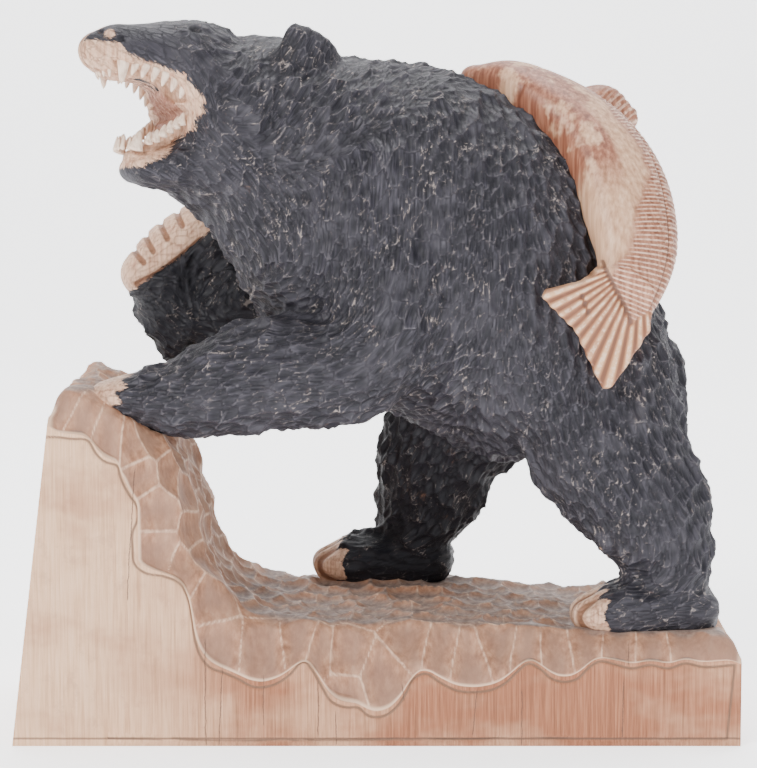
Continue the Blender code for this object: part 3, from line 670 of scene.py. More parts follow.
def split_skin(obj, names, planes):
    """Cut the skin by planes (point, direction) into closed pieces, and keep the shading whole.

    Piece k is what lies behind the first k planes and in front of the next one.
    """
    for k, name in enumerate(names):
        bm = bmesh.new()
        bm.from_mesh(obj.data)
        for j in range(min(k + 1, len(planes))):
            point, direction = planes[j]
            whole = bm.verts[:] + bm.edges[:] + bm.faces[:]
            cut = bmesh.ops.bisect_plane(bm, geom=whole, plane_co=np.array(point) * MM, plane_no=direction,
                                         clear_inner=(j == k), clear_outer=(j < k))
            rim = [e for e in cut["geom_cut"] if isinstance(e, bmesh.types.BMEdge)]
            bmesh.ops.holes_fill(bm, edges=rim, sides=0)
        bmesh.ops.triangulate(bm, faces=[p for p in bm.faces if len(p.verts) > 4])
        mesh = bpy.data.meshes.new(name)
        bm.to_mesh(mesh)
        bm.free()
        mesh.materials.append(stained)
        mesh.polygons.foreach_set("use_smooth", np.ones(len(mesh.polygons), bool))
        normals = np.empty(len(mesh.vertices) * 3, np.float32)
        mesh.attributes["round"].data.foreach_get("vector", normals)
        mesh.normals_split_custom_set_from_vertices(unit(normals.reshape(-1, 3)).tolist())
        mesh.attributes.remove(mesh.attributes["round"])
        piece = bpy.data.objects.new(name, mesh)
        bpy.context.scene.collection.objects.link(piece)
        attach(piece, "root")
        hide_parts("carved_bear")
    bpy.data.objects.remove(obj, do_unlink=True)


NECK = ((-40.0, 0.0, 350.0), unit(np.array((-0.80, 0.0, 0.60))))
CHEST = ((10.0, 0.0, 255.0), unit(np.array((-0.92, 0.0, 0.39))))
LOINS = ((106.0, 0.0, 208.0), unit(np.array((-0.75, 0.0, 0.66))))
split_skin(bear, ["bear_head", "bear_forepart", "bear_back", "bear_hindpart"], [NECK, CHEST, LOINS])


# The rock
# The lower part of the block: sawn flat in front, behind and at the ends, with an incised line round
# the front face. Above it broad round gouges were cut side by side, and their crests are rubbed pale.
# The colour also holds painted shade in the gouges' bottoms and along the incised lines and cracks.
LEDGE = 70.0
LEFT_FOOT, RIGHT_FOOT, LEAN, HALF_DEPTH = -211.0, 212.0, 23.0, 93.0
ROCK_OUTLINE = [(-178, 136, 0.08, -1.00, 19), (-160, 134, 0.02, -1.00, 27), (-140, 118, -0.30, -0.95, 24),
                (-122, 106, -0.75, -0.65, 23), (-112, 84, -0.98, -0.20, 29), (-104, 60, -1.00, -0.05, 37),
                (-98, 38, -0.95, -0.20, 33), (-87, 18, -0.80, -0.50, 29), (-68, 5, -0.50, -0.85, 37),
                (-38, 1, -0.15, -1.00, 34), (0, 0, 0.00, -1.00, 42), (45, 0, 0.00, -1.00, 36),
                (92, -2, 0.00, -1.00, 24), (140, -4, 0.00, -1.00, 17), (186, -4, 0, -1, 14),
                (202, -5, 0, -1, 14)]
INCISED = [(-192, 182), (-183, 182), (-175, 181), (-165, 180), (-161, 173), (-156, 168), (-148, 165),
           (-147, 160), (-142, 149), (-137, 141), (-137, 134), (-140, 127), (-140, 117), (-139, 108),
           (-133, 103), (-122, 101), (-113, 97), (-108, 87), (-106, 76), (-104, 62), (-100, 52), (-95, 47),
           (-89, 45), (-80, 41), (-70, 36), (-60, 37), (-51, 42), (-41, 51), (-36, 45), (-31, 36), (-25, 27),
           (-17, 24), (-10, 24), (-4, 19), (5, 19), (12, 24), (18, 33), (22, 41), (29, 44), (37, 39),
           (47, 34),
           (58, 33), (69, 35), (76, 39), (82, 45), (89, 50), (95, 47), (102, 41), (109, 39), (117, 41),
           (123, 47), (129, 51), (140, 49), (148, 47), (159, 49), (170, 47), (179, 50), (189, 48), (207, 49)]
END_LINE = [(208, 48), (206, 27), (204, 5)]
FOOT_LINE = [(-209, 5.2), (-71, 3.4), (95, 4.6), (204, 4.4)]
FOOT_LINE_UP = 0.0045       # the line along the foot, metres above the floor
CRACKS = [[(-98.6, 62), (-98.6, 0.7)], [(-88.8, 46), (-90.8, 0.7)], [(-138.7, 162), (-143.4, 86)],
          [(-65, 41), (-65, 12.5)], [(-33.3, 39), (-33.3, 6.6)], [(-22.9, 20), (-22.9, 0.7)],
          [(15.4, 36), (16.6, 27)], [(58.8, 33), (56.6, 6.6)], [(85, 33), (85, 0.7)],
          [(147.7, 71), (146.2, 48)], [(144, 39), (143, 4.8)]]
FRONT_SCOOPS = [(-91, 58), (-66, 55), (-43, 61), (-32, 56), (-17, 52), (-19, 30), (4, 41), (21, 61), (38, 58),
                (54, 52), (71, 59), (-182, 194), (-171, 187), (-154, 177), (-133, 160), (-138, 173),
                (-128, 177), (-118, 159), (-108, 146), (-125, 139), (-105, 125), (-125, 112), (-110, 103),
                (-99, 108), (-95, 86), (88, 58), (104, 56), (122, 60), (141, 59), (160, 58), (180, 60)]
STATIONS, FRONT_TURN, BACK_TURN, INNER, WALL_ROWS = 380, 36, 18, 82, 54
END_BAND = 3.4              # the gouged band runs out to this width at both ends
NOT_NEAR = 9.0              # written where no crest and no incised line is near
rng = np.random.RandomState(5)

start = (LEFT_FOOT + LEAN, 122.0, *unit(np.array([-LEAN, -192.0])), END_BAND)
end = (RIGHT_FOOT, -18.0, 0.0, -1.0, END_BAND)
rows = [(px, pz, 0.0, dx, dz, band) for px, pz, dx, dz, band in [start] + ROCK_OUTLINE + [end]]
path = smooth_path(rows, STATIONS)
top = np.stack([path[:, 0], path[:, 1] + LEDGE], axis=1)
toward = unit(path[:, 3:5])
# width of the gouged band: where the way down from the top edge crosses the incised line
a = np.array(INCISED, float)[:-1] + (0, 1.5)
b = np.array(INCISED, float)[1:] + (0, 1.5)
step = b - a
gap = a[None] - top[:, None]
cross = toward[:, None, 0] * step[None, :, 1] - toward[:, None, 1] * step[None, :, 0]
cross = np.where(np.abs(cross) < 1e-6, 1e-6, cross)
w = (gap[..., 0] * step[None, :, 1] - gap[..., 1] * step[None, :, 0]) / cross
s = (gap[..., 0] * toward[:, None, 1] - gap[..., 1] * toward[:, None, 0]) / cross
w = np.where((s >= 0) & (s <= 1) & (w > 2), w, 1e9).min(axis=1)
band = np.where(w < 75, w, path[:, 5])
station = np.arange(STATIONS)
band = np.where(station < 8, np.linspace(END_BAND, band[8], 9)[np.minimum(station, 8)], band)
last = STATIONS - 1 - station
band = np.where(last < 10, np.linspace(END_BAND, band[-11], 11)[np.minimum(last, 10)], band)
band = np.convolve(np.pad(band, 3, mode="edge"), np.ones(7) / 7, mode="valid")
border = top + toward * band[:, None]
border[:, 0] = np.maximum.accumulate(border[:, 0])


def quarter(count):
    """Even steps of a quarter turn from the flat face (0) to the top (a right angle)."""
    return np.linspace(0.0, 0.5 * math.pi, count)


turn_front, turn_back = quarter(FRONT_TURN), quarter(BACK_TURN)[::-1]
reach = np.minimum(band * 30 / 34, 30.0)
back_band = path[:, 5] * (1 + 0.2 * np.sin(station / 9.0))
back_band = np.maximum(np.where((station < 6) | (last < 6), END_BAND, back_band), 3.0)
back_reach = np.minimum(back_band * 30 / 34, 30.0)
level = np.linspace(-1.0, 1.0, INNER + 2)[1:-1]
middle = 0.5 * (reach - back_reach)[:, None] + level * (HALF_DEPTH - 0.5 * (reach + back_reach))[:, None]
across = np.concatenate([-HALF_DEPTH + reach[:, None] * (1 - np.cos(turn_front)), middle,
                         HALF_DEPTH - back_reach[:, None] * (1 - np.cos(turn_back))], axis=1)
fall = np.concatenate([1 - np.sin(turn_front), np.zeros(INNER)])
share = np.concatenate([np.broadcast_to(fall, (STATIONS, len(fall))),
                        (1 - np.sin(turn_back)) * (back_band / band)[:, None]], axis=1)
swell = (7.0 * np.exp(-((top[:, :1] - 4) / 62) ** 2 - ((across - 48) / 34) ** 2)
         - 4.0 * np.exp(-((top[:, :1] - 160) / 60) ** 2 - ((across + 60) / 34) ** 2))
way = border - top
level_up = top[:, 1:] + way[:, 1:] * share + swell * (1 - share.clip(0, 1))
grid = np.stack([top[:, :1] + way[:, :1] * share, across, level_up], axis=2)
facing = unit(np.cross(np.gradient(grid, axis=0), np.gradient(grid, axis=1)))
facing *= np.sign(facing[STATIONS // 2, len(fall), 2])

# Gouge cuts: those that show in front, and rows of smaller ones over the ledge, slope and back
flat = grid.reshape(-1, 3)
front = flat[:, 1] < -HALF_DEPTH + 31
named = flat[front][np.array([np.argmin((flat[front][:, 0] - sx) ** 2 + (flat[front][:, 2] - sz) ** 2
                                        + 0.02 * (flat[front][:, 1] + 80) ** 2) for sx, sz in FRONT_SCOOPS])]
ledge_run = np.cumsum(np.concatenate([[0], np.hypot(*np.diff(top, axis=0).T)]))
cell_x, cell_y = np.meshgrid(np.arange(4, ledge_run[-1], 17.5), np.arange(-58, 90, 17.5), indexing="ij")
cell_x = cell_x + rng.uniform(-6, 6, cell_x.shape) + 7 * (np.arange(cell_x.shape[1]) % 2)
cell_y = cell_y + rng.uniform(-5, 5, cell_y.shape)
i = np.clip(np.searchsorted(ledge_run, cell_x.ravel()), 0, STATIONS - 1)
j = np.abs(across[i] - cell_y.ravel()[:, None]).argmin(axis=1)
spread = grid[i, j]
near_named = np.linalg.norm(spread[:, None] - named[None], axis=2).min(axis=1)
spread = spread[near_named > 17]
seeds = np.concatenate([named, spread])
bowl = np.concatenate([np.full(len(named), 0.026), np.full(len(spread), 0.031)])


def scooped(points, seeds, bowl):
    """Least of many bowls: height is bowl * distance^2 to the nearest cut, and the way to its crest."""
    height = np.empty(len(points))
    crest = np.empty(len(points))
    for at in range(0, len(points), 8000):
        gap = points[at:at + 8000, None] - seeds[None]
        gap[..., 2] *= 0.8
        h = (gap**2).sum(axis=2) * bowl
        k = np.argpartition(h, 1, axis=1)[:, :2]
        rows = np.arange(len(h))
        two = np.take_along_axis(h, k, axis=1)
        order = two.argsort(axis=1)
        one, other = k[rows, order[:, 0]], k[rows, order[:, 1]]
        height[at:at + 8000] = h[rows, one]
        apart = np.linalg.norm(seeds[one] - seeds[other], axis=1)
        rise = h[rows, other] - h[rows, one]
        crest[at:at + 8000] = rise / (2 * np.maximum(bowl[one], bowl[other]) * apart)
    return height, crest


height, crest = scooped(flat, seeds, bowl)
height = np.minimum(height, 5.2).reshape(grid.shape[:2])
crest = crest.reshape(grid.shape[:2])
hold = np.ones(grid.shape[1])
hold[:len(turn_front)] = np.clip(np.arange(len(turn_front)) / 2.0, 0, 1)
hold[-len(turn_back):] = np.clip(np.arange(len(turn_back))[::-1] / 3.0, 0, 1)
ends = np.clip(np.minimum(station, last) / 7.0, 0, 1)
hold = hold[None] * ends[:, None]
grid = grid + facing * (hold * (height - 3.6))[..., None]
grid[:, -1, 0] = np.maximum.accumulate(grid[:, -1, 0])


def way_to(x, z, line):
    """Distance in millimetres to an open line of points."""
    nearest = np.full(np.shape(x), 1e9)
    for (ax, az), (bx, bz) in zip(line[:-1], line[1:]):
        t = np.clip(((x - ax) * (bx - ax) + (z - az) * (bz - az)) / ((bx - ax) ** 2 + (bz - az) ** 2), 0, 1)
        nearest = np.minimum(nearest, np.hypot(x - ax - t * (bx - ax), z - az - t * (bz - az)))
    return nearest


fine_line = smooth_path([(px, pz, 0) for px, pz in INCISED], 200)[:, :2]
down = np.linspace(0.0, 1.0, WALL_ROWS + 1)[1:] ** 2.2
foot_x = LEFT_FOOT + (RIGHT_FOOT - LEFT_FOOT) * (border[:, 0] - border[0, 0]) / (border[-1, 0] - border[0, 0])
front_x = border[:, :1] + (foot_x - border[:, 0])[:, None] * down
front_z = border[:, 1:] * (1 - down)
line = np.minimum(way_to(front_x, front_z, fine_line - (0, 1.2)), way_to(front_x, front_z, FOOT_LINE))
line = np.minimum(line, way_to(front_x, front_z, END_LINE))
inner = down < 1
sink = 0.9 * np.exp(-(line / 0.8) ** 2) * inner
front_y = -HALF_DEPTH + sink
front_y[0] = front_y[-1] = -HALF_DEPTH
front = np.stack([front_x, front_y, front_z], axis=2)
fall_left = np.array([LEFT_FOOT, 0, 0]) + grid[0] * (0, 1, 0) - grid[0]
fall_right = np.array([RIGHT_FOOT, 0, 0]) + grid[-1] * (0, 1, 0) - grid[-1]
left = grid[:1] + fall_left[None] * down[:, None, None]
right = grid[-1:] + fall_right[None] * down[:, None, None]
left = np.concatenate([grid[:1], left])
right = np.concatenate([grid[-1:], right])
front = np.concatenate([grid[:, :1], front], axis=1)


def squares(rows, columns, start):
    """Corner numbers of a grid's squares, counted on from start."""
    k = start + np.arange(rows * columns).reshape(rows, columns)
    return np.stack([k[:-1, :-1], k[:-1, 1:], k[1:, 1:], k[1:, :-1]], axis=-1).reshape(-1, 4)


sheets = [grid, front, left, right]
points = np.concatenate([g.reshape(-1, 3) for g in sheets])
starts = np.cumsum([0] + [g.shape[0] * g.shape[1] for g in sheets])
quads = [squares(g.shape[0], g.shape[1], k) for g, k in zip(sheets, starts)]
flat_count = len(points) - crest.size
crests = np.concatenate([crest.ravel(), np.full(flat_count, NOT_NEAR)])
scoops = np.concatenate([hold.ravel(), np.zeros(flat_count)])
lines = np.full(len(points), NOT_NEAR)
front_lines = np.concatenate([np.full((STATIONS, 1), NOT_NEAR), np.minimum(line, NOT_NEAR)], axis=1)
lines[starts[1]:starts[2]] = front_lines.ravel()
columns = grid.shape[1]
strip_back = starts[0] + np.arange(STATIONS) * columns + columns - 1
right_back = starts[3] + np.arange(WALL_ROWS + 1) * columns + columns - 1
left_back = starts[2] + np.arange(WALL_ROWS + 1) * columns + columns - 1
foot_front = starts[1] + np.arange(STATIONS) * (WALL_ROWS + 1) + WALL_ROWS
foot_right = starts[3] + WALL_ROWS * columns + np.arange(columns)
foot_left = starts[2] + WALL_ROWS * columns + np.arange(columns)
# the hidden back and the underside are plain: one row of long faces each
foot_back = len(points) + np.arange(STATIONS)
foot_back[0], foot_back[-1] = foot_left[-1], foot_right[-1]
back_at = grid[:, -1, 0]
back_x = LEFT_FOOT + (RIGHT_FOOT - LEFT_FOOT) * (back_at - back_at[0]) / (back_at[-1] - back_at[0])
back_foot = np.stack([back_x, np.full(STATIONS, HALF_DEPTH), np.zeros(STATIONS)], axis=1)
points = np.concatenate([points, back_foot])
crests, scoops, lines = (np.concatenate([v, np.full(STATIONS, fill)])
                         for v, fill in ((crests, NOT_NEAR), (scoops, 0.0), (lines, NOT_NEAR)))
_, keep, back_to = np.unique(np.round(points, 3), axis=0, return_index=True, return_inverse=True)
back_to = back_to.ravel()
back_rows = np.stack([strip_back[:-1], foot_back[:-1], foot_back[1:], strip_back[1:]], axis=1)[1:-1]
foot_rows = np.stack([foot_front[:-1], foot_front[1:], foot_back[1:], foot_back[:-1]], axis=1)[1:-1]
ends = [list(left_back) + [foot_back[1], strip_back[1]],
        list(right_back[::-1]) + [strip_back[-2], foot_back[-2]],
        [foot_front[0], foot_front[1], foot_back[1]] + list(foot_left[::-1])[:-1],
        [foot_front[-2], foot_front[-1]] + list(foot_right)[1:] + [foot_back[-2]]]


def turned_out(polygons, direction):
    """The same polygons, turned round if their common normal points against the direction."""
    p = points[np.asarray(polygons)]
    normal = np.cross(p, np.roll(p, -1, axis=1)).sum(axis=(0, 1))
    return [list(q) if normal @ direction > 0 else list(q)[::-1] for q in np.asarray(polygons).tolist()]


sides = [(quads[0], (0, 0, 1)), (quads[1], (0, -1, 0)), (quads[2], (-1, 0, 0)), (quads[3], (1, 0, 0)),
         (back_rows, (0, 1, 0)), (foot_rows, (0, 0, -1)),
         ([ends[0]], (0, 1, 0)), ([ends[1]], (0, 1, 0)), ([ends[2]], (0, 0, -1)), ([ends[3]], (0, 0, -1))]
faces = [tuple(back_to[q].tolist()) for polygons, direction in sides for q in turned_out(polygons, direction)]
faces = [tuple(dict.fromkeys(q)) for q in faces if len(set(q)) > 2]
rock = mesh_object("rock", [(points[keep] - (MIDDLE, 0, 0), faces)])
store(rock.data, "crest", crests[keep])
store(rock.data, "scoop", scoops[keep])
store(rock.data, "line", lines[keep])
rock.data.polygons.foreach_set("use_smooth", np.ones(len(rock.data.polygons), bool))
rock.data.set_sharp_from_angle(angle=math.radians(38))

raw, tree, shader, add = nodes_of("bare wood")
place = add("TexCoord").outputs["Object"]
crest_way = add("Attribute", attribute_name="crest").outputs["Fac"]
in_scoop = add("Attribute", attribute_name="scoop").outputs["Fac"]
line_way = add("Attribute", attribute_name="line").outputs["Fac"]
height_up = add("SeparateXYZ", {"Vector": place})
facing_up = add("SeparateXYZ", {"Vector": add("NewGeometry").outputs["Normal"]}).outputs["Z"]
streak = grain(add, place, 950.0, (1, 1, 0.03), 4.0, 0.65)
broad = grain(add, place, 110.0, (1, 1, 0.06), 3.0, 0.5)
patch = grain(add, place, 11.0, (1, 1, 1.6), 4.0, 0.6)
mottle = grain(add, place, 260.0, (1, 1, 0.5), 3.0, 0.6)
spots = grain(add, place, 90.0, (1, 1, 0.8), 5.0, 0.72)
tan = ramp(add, streak, [(0.26, (0.48, 0.270, 0.150)), (0.48, (0.67, 0.415, 0.255)),
                         (0.74, (0.77, 0.525, 0.350))])
tan = blend(add, span(add, patch, 0.40, 0.66, 0.0, 0.35), tan, (0.52, 0.31, 0.19))
red = ramp(add, streak, [(0.28, (0.16, 0.052, 0.022)), (0.50, (0.285, 0.100, 0.046)),
                         (0.74, (0.41, 0.175, 0.090))])
tan = blend(add, span(add, spots, 0.53, 0.68, 0.0, 0.45), tan, (0.46, 0.27, 0.17))
# brown stain gathers low down and towards the right end
lowness = span(add, height_up.outputs["Z"], 0.165, 0.035)
rightness = span(add, height_up.outputs["X"], -0.185, -0.055)
stain = times(add, span(add, patch, 0.38, 0.60, 0.50, 0.95), times(add, lowness, rightness))
stain_all = times(add, stain, span(add, patch, 0.50, 0.68, 0.0, 0.40), "MAXIMUM")
flat_face = blend(add, stain_all, tan, red)
taupe = ramp(add, mottle, [(0.30, (0.23, 0.105, 0.060)), (0.50, (0.35, 0.175, 0.104)),
                           (0.72, (0.49, 0.275, 0.170))])
taupe = blend(add, span(add, broad, 0.42, 0.64, 0.0, 0.5), taupe, (0.36, 0.22, 0.15))
grey = ramp(add, mottle, [(0.30, (0.15, 0.105, 0.090)), (0.52, (0.235, 0.170, 0.142)),
                          (0.72, (0.34, 0.255, 0.210))])
# painted shade: the gouges darken away from their crests, towards their bottoms
taupe = blend(add, span(add, crest_way, 1.0, 8.0, 0.0, 0.62), taupe, (0.245, 0.135, 0.092))
up_share = span(add, facing_up, 0.80, 0.97)
taupe = blend(add, up_share, taupe, grey)
worn = span(add, crest_way, 0.95, 0.10)
worn = times(add, times(add, worn, span(add, mottle, 0.34, 0.60, 0.30, 0.90)),
             span(add, up_share, 0.0, 1.0, 1.0, 0.35))
taupe = blend(add, worn, taupe, (0.66, 0.45, 0.32))
colour = blend(add, span(add, in_scoop, 0.25, 0.80),
               blend(add, span(add, in_scoop, 0.0, 0.15), flat_face, (0.62, 0.42, 0.29)), taupe)
# painted shade along the incised lines round the front face and along the foot, which are also sunk a little
colour = blend(add, span(add, line_way, 1.2, 0.25, 0.0, 0.85), colour, (0.17, 0.10, 0.065))
# painted shade: dark lines along the foot and down the cracks stand for the shade in narrow grooves
facing_front = span(add, add("SeparateXYZ", {"Vector": add("NewGeometry").outputs["Normal"]}).outputs["Y"],
                    -0.5, -0.9)
wobble = times(add, times(add, spots, 0.5, "SUBTRACT"), 0.003)
above_line = times(add, height_up.outputs["Z"], FOOT_LINE_UP, "SUBTRACT")
foot_way = times(add, above_line, times(add, wobble, 0.3), "ADD")
groove_shade = times(add, span(add, times(add, foot_way, 0.0, "ABSOLUTE"), 0.0009, 0.0003, 0.0, 0.7), facing_front)
for (x0, z0), (x1, z1) in CRACKS:
    lean = (x1 - x0) / (z1 - z0)
    at = times(add, times(add, height_up.outputs["Z"], lean), (x0 - MIDDLE - lean * z0) * MM, "ADD")
    off = times(add, times(add, times(add, height_up.outputs["X"], at, "SUBTRACT"), wobble, "ADD"), 0.0,
                "ABSOLUTE")
    upper = span(add, height_up.outputs["Z"], (z0 + 2) * MM, (z0 - 2) * MM)
    lower = span(add, height_up.outputs["Z"], (z1 - 1) * MM, (z1 + 1) * MM)
    mark = times(add, times(add, span(add, off, 0.00045, 0.0001, 0.0, 0.85), times(add, upper, lower)),
                 facing_front)
    groove_shade = times(add, groove_shade, mark, "MAXIMUM")
colour = blend(add, groove_shade, colour, (0.09, 0.05, 0.035))
tree.links.new(colour, shader.inputs["Base Color"])
shader.inputs["Roughness"].default_value = 0.62
shader.inputs["Specular IOR Level"].default_value = 0.35
bumps = add("Bump", {"Strength": 0.35, "Distance": 0.0006, "Height": streak})
bumps2 = add("Bump", {"Strength": 0.25, "Distance": 0.0005, "Height": mottle, "Normal": bumps.outputs[0]})
tree.links.new(bumps2.outputs[0], shader.inputs["Normal"])
rock.data.materials.append(raw)
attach(rock, "root")
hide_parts("carved_bear")


# The teeth
# Small wedges left standing from the bare wood round both jaws, with longer ones at the corners.
UPPER_ROW = [(79, 16.5, -2), (73, 17.8, -2.5), (67, 19.2, -3.5), (61, 20.8, -5), (55.5, 22.8, -7.5),
             (50.5, 25.2, -10.5)]
LOWER_ROW = [(48, 22.5, -29.5), (50.5, 21.2, -32), (53.5, 19.8, -35), (56.5, 18.2, -38), (60, 16.6, -41.5),
             (63.5, 15, -43.5)]
TOOTH_COLOUR = (0.74, 0.57, 0.45)


def tooth(base, tip, width, thick, forward):
    """A pointed wedge: elliptic rings from base to tip whose size falls as (1 - height)^0.55."""
    base, tip = np.asarray(base, float), np.asarray(tip, float)
    axis = unit(tip - base)
    wide = unit(forward - axis * (forward @ axis))
    deep = np.cross(axis, wide)
    t = np.linspace(0, 1, 8)[:-1, None, None]
    angle = np.linspace(0, 2 * math.pi, 12, endpoint=False)[None, :, None]
    size = (1 - t) ** 0.55
    rings = (base + (tip - base) * t + wide * np.cos(angle) * width * size
             + deep * np.sin(angle) * thick * size)
    points = np.concatenate([base[None] - axis * 1.0, rings.reshape(-1, 3), tip[None]])
    body = 1 + np.arange(7 * 12).reshape(7, 12)
    nxt = np.roll(body, -1, axis=1)
    quads = np.stack([body[:-1], nxt[:-1], nxt[1:], body[1:]], axis=-1).reshape(-1, 4).tolist()
    first = np.stack([np.zeros(12, int), nxt[0], body[0]], axis=-1).tolist()
    last = np.stack([np.full(12, len(points) - 1), body[-1], nxt[-1]], axis=-1).tolist()
    return placed(points @ head_axes() + HEAD_AT), quads + first + last


rows = []
upper_run = np.array([1.0, -0.35, 0.25])
lower_run = np.array([0.75, -0.45, -0.6])
for side in (1, -1):
    flip = np.array([1, side, 1])
    for tf, tl, tu in UPPER_ROW:
        base, tip = np.array([(tf, tl, tu + 1.5), (tf + 1.2, tl - 1.2, tu - 7.0)]) * flip
        rows.append(tooth(base, tip, 2.7, 2.2, upper_run * flip))
    for tf, tl, tu in LOWER_ROW:
        base, tip = np.array([(tf, tl, tu - 2), (tf - 1.0, tl - 0.8, tu + 5.5)]) * flip
        rows.append(tooth(base, tip, 2.9, 2.6, lower_run * flip))
    base, tip = np.array([(86, 14.2, 0), (84.5, 12.5, -15)]) * flip
    rows.append(tooth(base, tip, 4.0, 3.2, upper_run * flip))
    base, tip = np.array([(69, 11.5, -50), (68, 11, -38)]) * flip
    rows.append(tooth(base, tip, 4.2, 3.4, upper_run * flip))
# the small front teeth stand on a shallow bow
crosswise = np.array([0.0, 1.0, 0.0])
for tl in (-8.4, -5.0, -1.7, 1.7, 5.0, 8.4):
    bow, low_bow = 0.05 * tl * tl, 0.06 * tl * tl
    rows.append(tooth((95 - bow, tl, -6), (94 - bow, tl * 0.95, -11.5), 1.5, 1.7, crosswise))
    rows.append(tooth((76 - low_bow, tl, -50), (76 - low_bow, tl * 0.95, -42), 1.5, 1.7, crosswise))
teeth = mesh_object("teeth", rows)
face_out(teeth.data)
teeth.data.polygons.foreach_set("use_smooth", np.ones(len(teeth.data.polygons), bool))
cut_wood, tree, shader, add = nodes_of("cut wood of the teeth")
place = add("TexCoord").outputs["Object"]
fleck = grain(add, place, 420.0, (1, 1, 0.3), 3.0)
tree.links.new(ramp(add, fleck, [(0.32, (0.50, 0.33, 0.24)), (0.50, TOOTH_COLOUR),
                                 (0.75, (0.86, 0.70, 0.57))]), shader.inputs["Base Color"])
tree.links.new(add("Bump", {"Strength": 0.3, "Distance": 0.0003, "Height": fleck}).outputs[0],
               shader.inputs["Normal"])
shader.inputs["Roughness"].default_value = 0.55
teeth.data.materials.append(cut_wood)
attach(teeth, "root")
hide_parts("carved_bear")


# The salmon
# It lies over the bear's back, in the same block: pale belly, brown stained back with combed scales
# along an incised side line, a rounded back fin and a fluted tail fan that hangs down the flank.
# Its colour also holds painted shade in the cuts and between the tail rays, and painted highlights on the
# scale combs and ray crests.
SALMON = [(62, 16, 319, 12, 8, 14), (78, 9, 317, 18, 13, 20), (101, -4, 307, 23, 16, 26),
          (125, -19, 289, 27, 18, 28), (142, -38, 265, 29, 18, 28), (149, -56, 241, 28, 16, 26),
          (151, -70, 219, 24, 13, 22), (147, -79, 202, 20, 9, 18), (141, -84, 190, 17, 5, 14)]
SALMON_OUT = [(0.45, -0.1, 0.9), (0.5, -0.2, 0.85), (0.5, -0.35, 0.8), (0.5, -0.5, 0.7),
              (0.5, -0.62, 0.6), (0.45, -0.75, 0.5), (0.35, -0.86, 0.35), (0.2, -0.95, 0.2), (0.1, -1.0, 0.1)]
DORSAL_FIN = [(122, 8, 300, 12, 12, 14), (137, 8, 303, 11, 12, 14), (149, 8, 296, 8, 8, 10)]
TAIL_FAN = [(131, 213), (119, 203), (97, 199), (96, 194), (115, 175), (131, 141), (137, 143),
            (158, 176), (160, 200), (146, 212)]
TAIL_FRONT, TAIL_BACK, TAIL_SLOPE, TAIL_ROOT = -91.0, -62.0, 0.10, (152.0, 216.0)
FISH_VOXEL = 1.0

out = smooth_path(np.hstack([np.array(SALMON)[:, :3], SALMON_OUT]), 70)[:, 3:]
BODY_END = [(128, 219), (130, 215), (137, 201), (143, 190), (147, 181), (152, 184), (164, 190), (176, 235),
            (128, 235)]
fan = np.array(TAIL_FAN, float)
lean = TAIL_SLOPE * np.linalg.norm(fan - fan[0], axis=1)
n = len(fan)
slab = np.concatenate([np.stack([fan[:, 0], TAIL_FRONT + lean, fan[:, 1]], axis=1),
                       np.stack([fan[:, 0], np.full(n, TAIL_BACK), fan[:, 1]], axis=1)])
slab_faces = ([tuple(range(n)), tuple(range(n, 2 * n))[::-1]] + [(i, n + i, n + (i + 1) % n,
                                                                  (i + 1) % n) for i in range(n)])
salmon = mesh_object("salmon", [tube(SALMON, out, 70, 48), tube(DORSAL_FIN, (0.4, 0.2, 0.9), 16, 24),
                                (slab, slab_faces)])
put(salmon.data, placed(places(salmon.data)))
face_out(salmon.data)
melt(salmon, FISH_VOXEL)
relax(salmon.data, 3)
co, no = places(salmon.data).astype(float), outward(salmon.data)
path = placed(smooth_path(SALMON, 120)[:, :3])
along = unit(np.gradient(path, axis=0))
out = smooth_path(np.hstack([np.array(SALMON)[:, :3], SALMON_OUT]), 120)[:, 3:]
side = unit(np.cross(out, along))
side *= np.sign(side[60, 0])
near = ((co[:, None] - path[None]) ** 2).sum(axis=2).argmin(axis=1)
gap = co - path[near]
length = np.concatenate([[0], np.cumsum(np.linalg.norm(np.diff(path, axis=0),
                                                       axis=1))])[near] + np.sum(gap * along[near], axis=1)
back = np.sum(gap * side[near], axis=1)
x, y, z = (co - placed([(0, 0, 0)])).T
tail = np.clip(from_outline(x, z, TAIL_FAN) / 3 + 0.6, 0,
               1) * (y < -66) * np.clip((1.0 - from_outline(x, z, BODY_END)) / 2.0, 0, 1)
ray = np.arctan2(z - TAIL_ROOT[1], x - TAIL_ROOT[0])
rays = np.cos(ray * 52) * tail
wave = length * 2 * math.pi / 3.6
outer = np.clip((back - 15.5) / 1.2, 0, 1)
inner_row = np.clip((back - 7) / 1.5, 0, 1) * np.clip((14.5 - back) / 1.2, 0, 1)
scale_reach = np.clip((length - 62) / 12, 0, 1) * np.clip((178 - length) / 6, 0, 1) * (1 - tail)
comb = (outer * np.cos(wave) + inner_row * np.cos(wave + 0.9 * (back - 10))) * scale_reach
side_line = np.exp(-((back - 15) / 0.7) ** 2) * np.clip((length - 45) / 10, 0, 1) * (1 - tail)
gill = 0.35 * np.exp(-((length - 34 - 0.012 * back**2) / 1.3) ** 2) * (1 - tail)
root_line = np.exp(-(way_to(x, z, [(130, 215), (137, 201), (143, 190), (147, 180)]) / 1.3) ** 2) * (y < -66)
knife = np.exp(-(way_to(x, z, [(118, 196), (122, 186)]) / 0.9) ** 2) * tail
relief = 0.35 * comb - 0.8 * side_line - 1.3 * gill - 1.2 * root_line + 0.55 * rays - 1.0 * knife
put(salmon.data, co + no * relief[:, None])
store(salmon.data, "back", back)
store(salmon.data, "length", length)
store(salmon.data, "tail", tail)
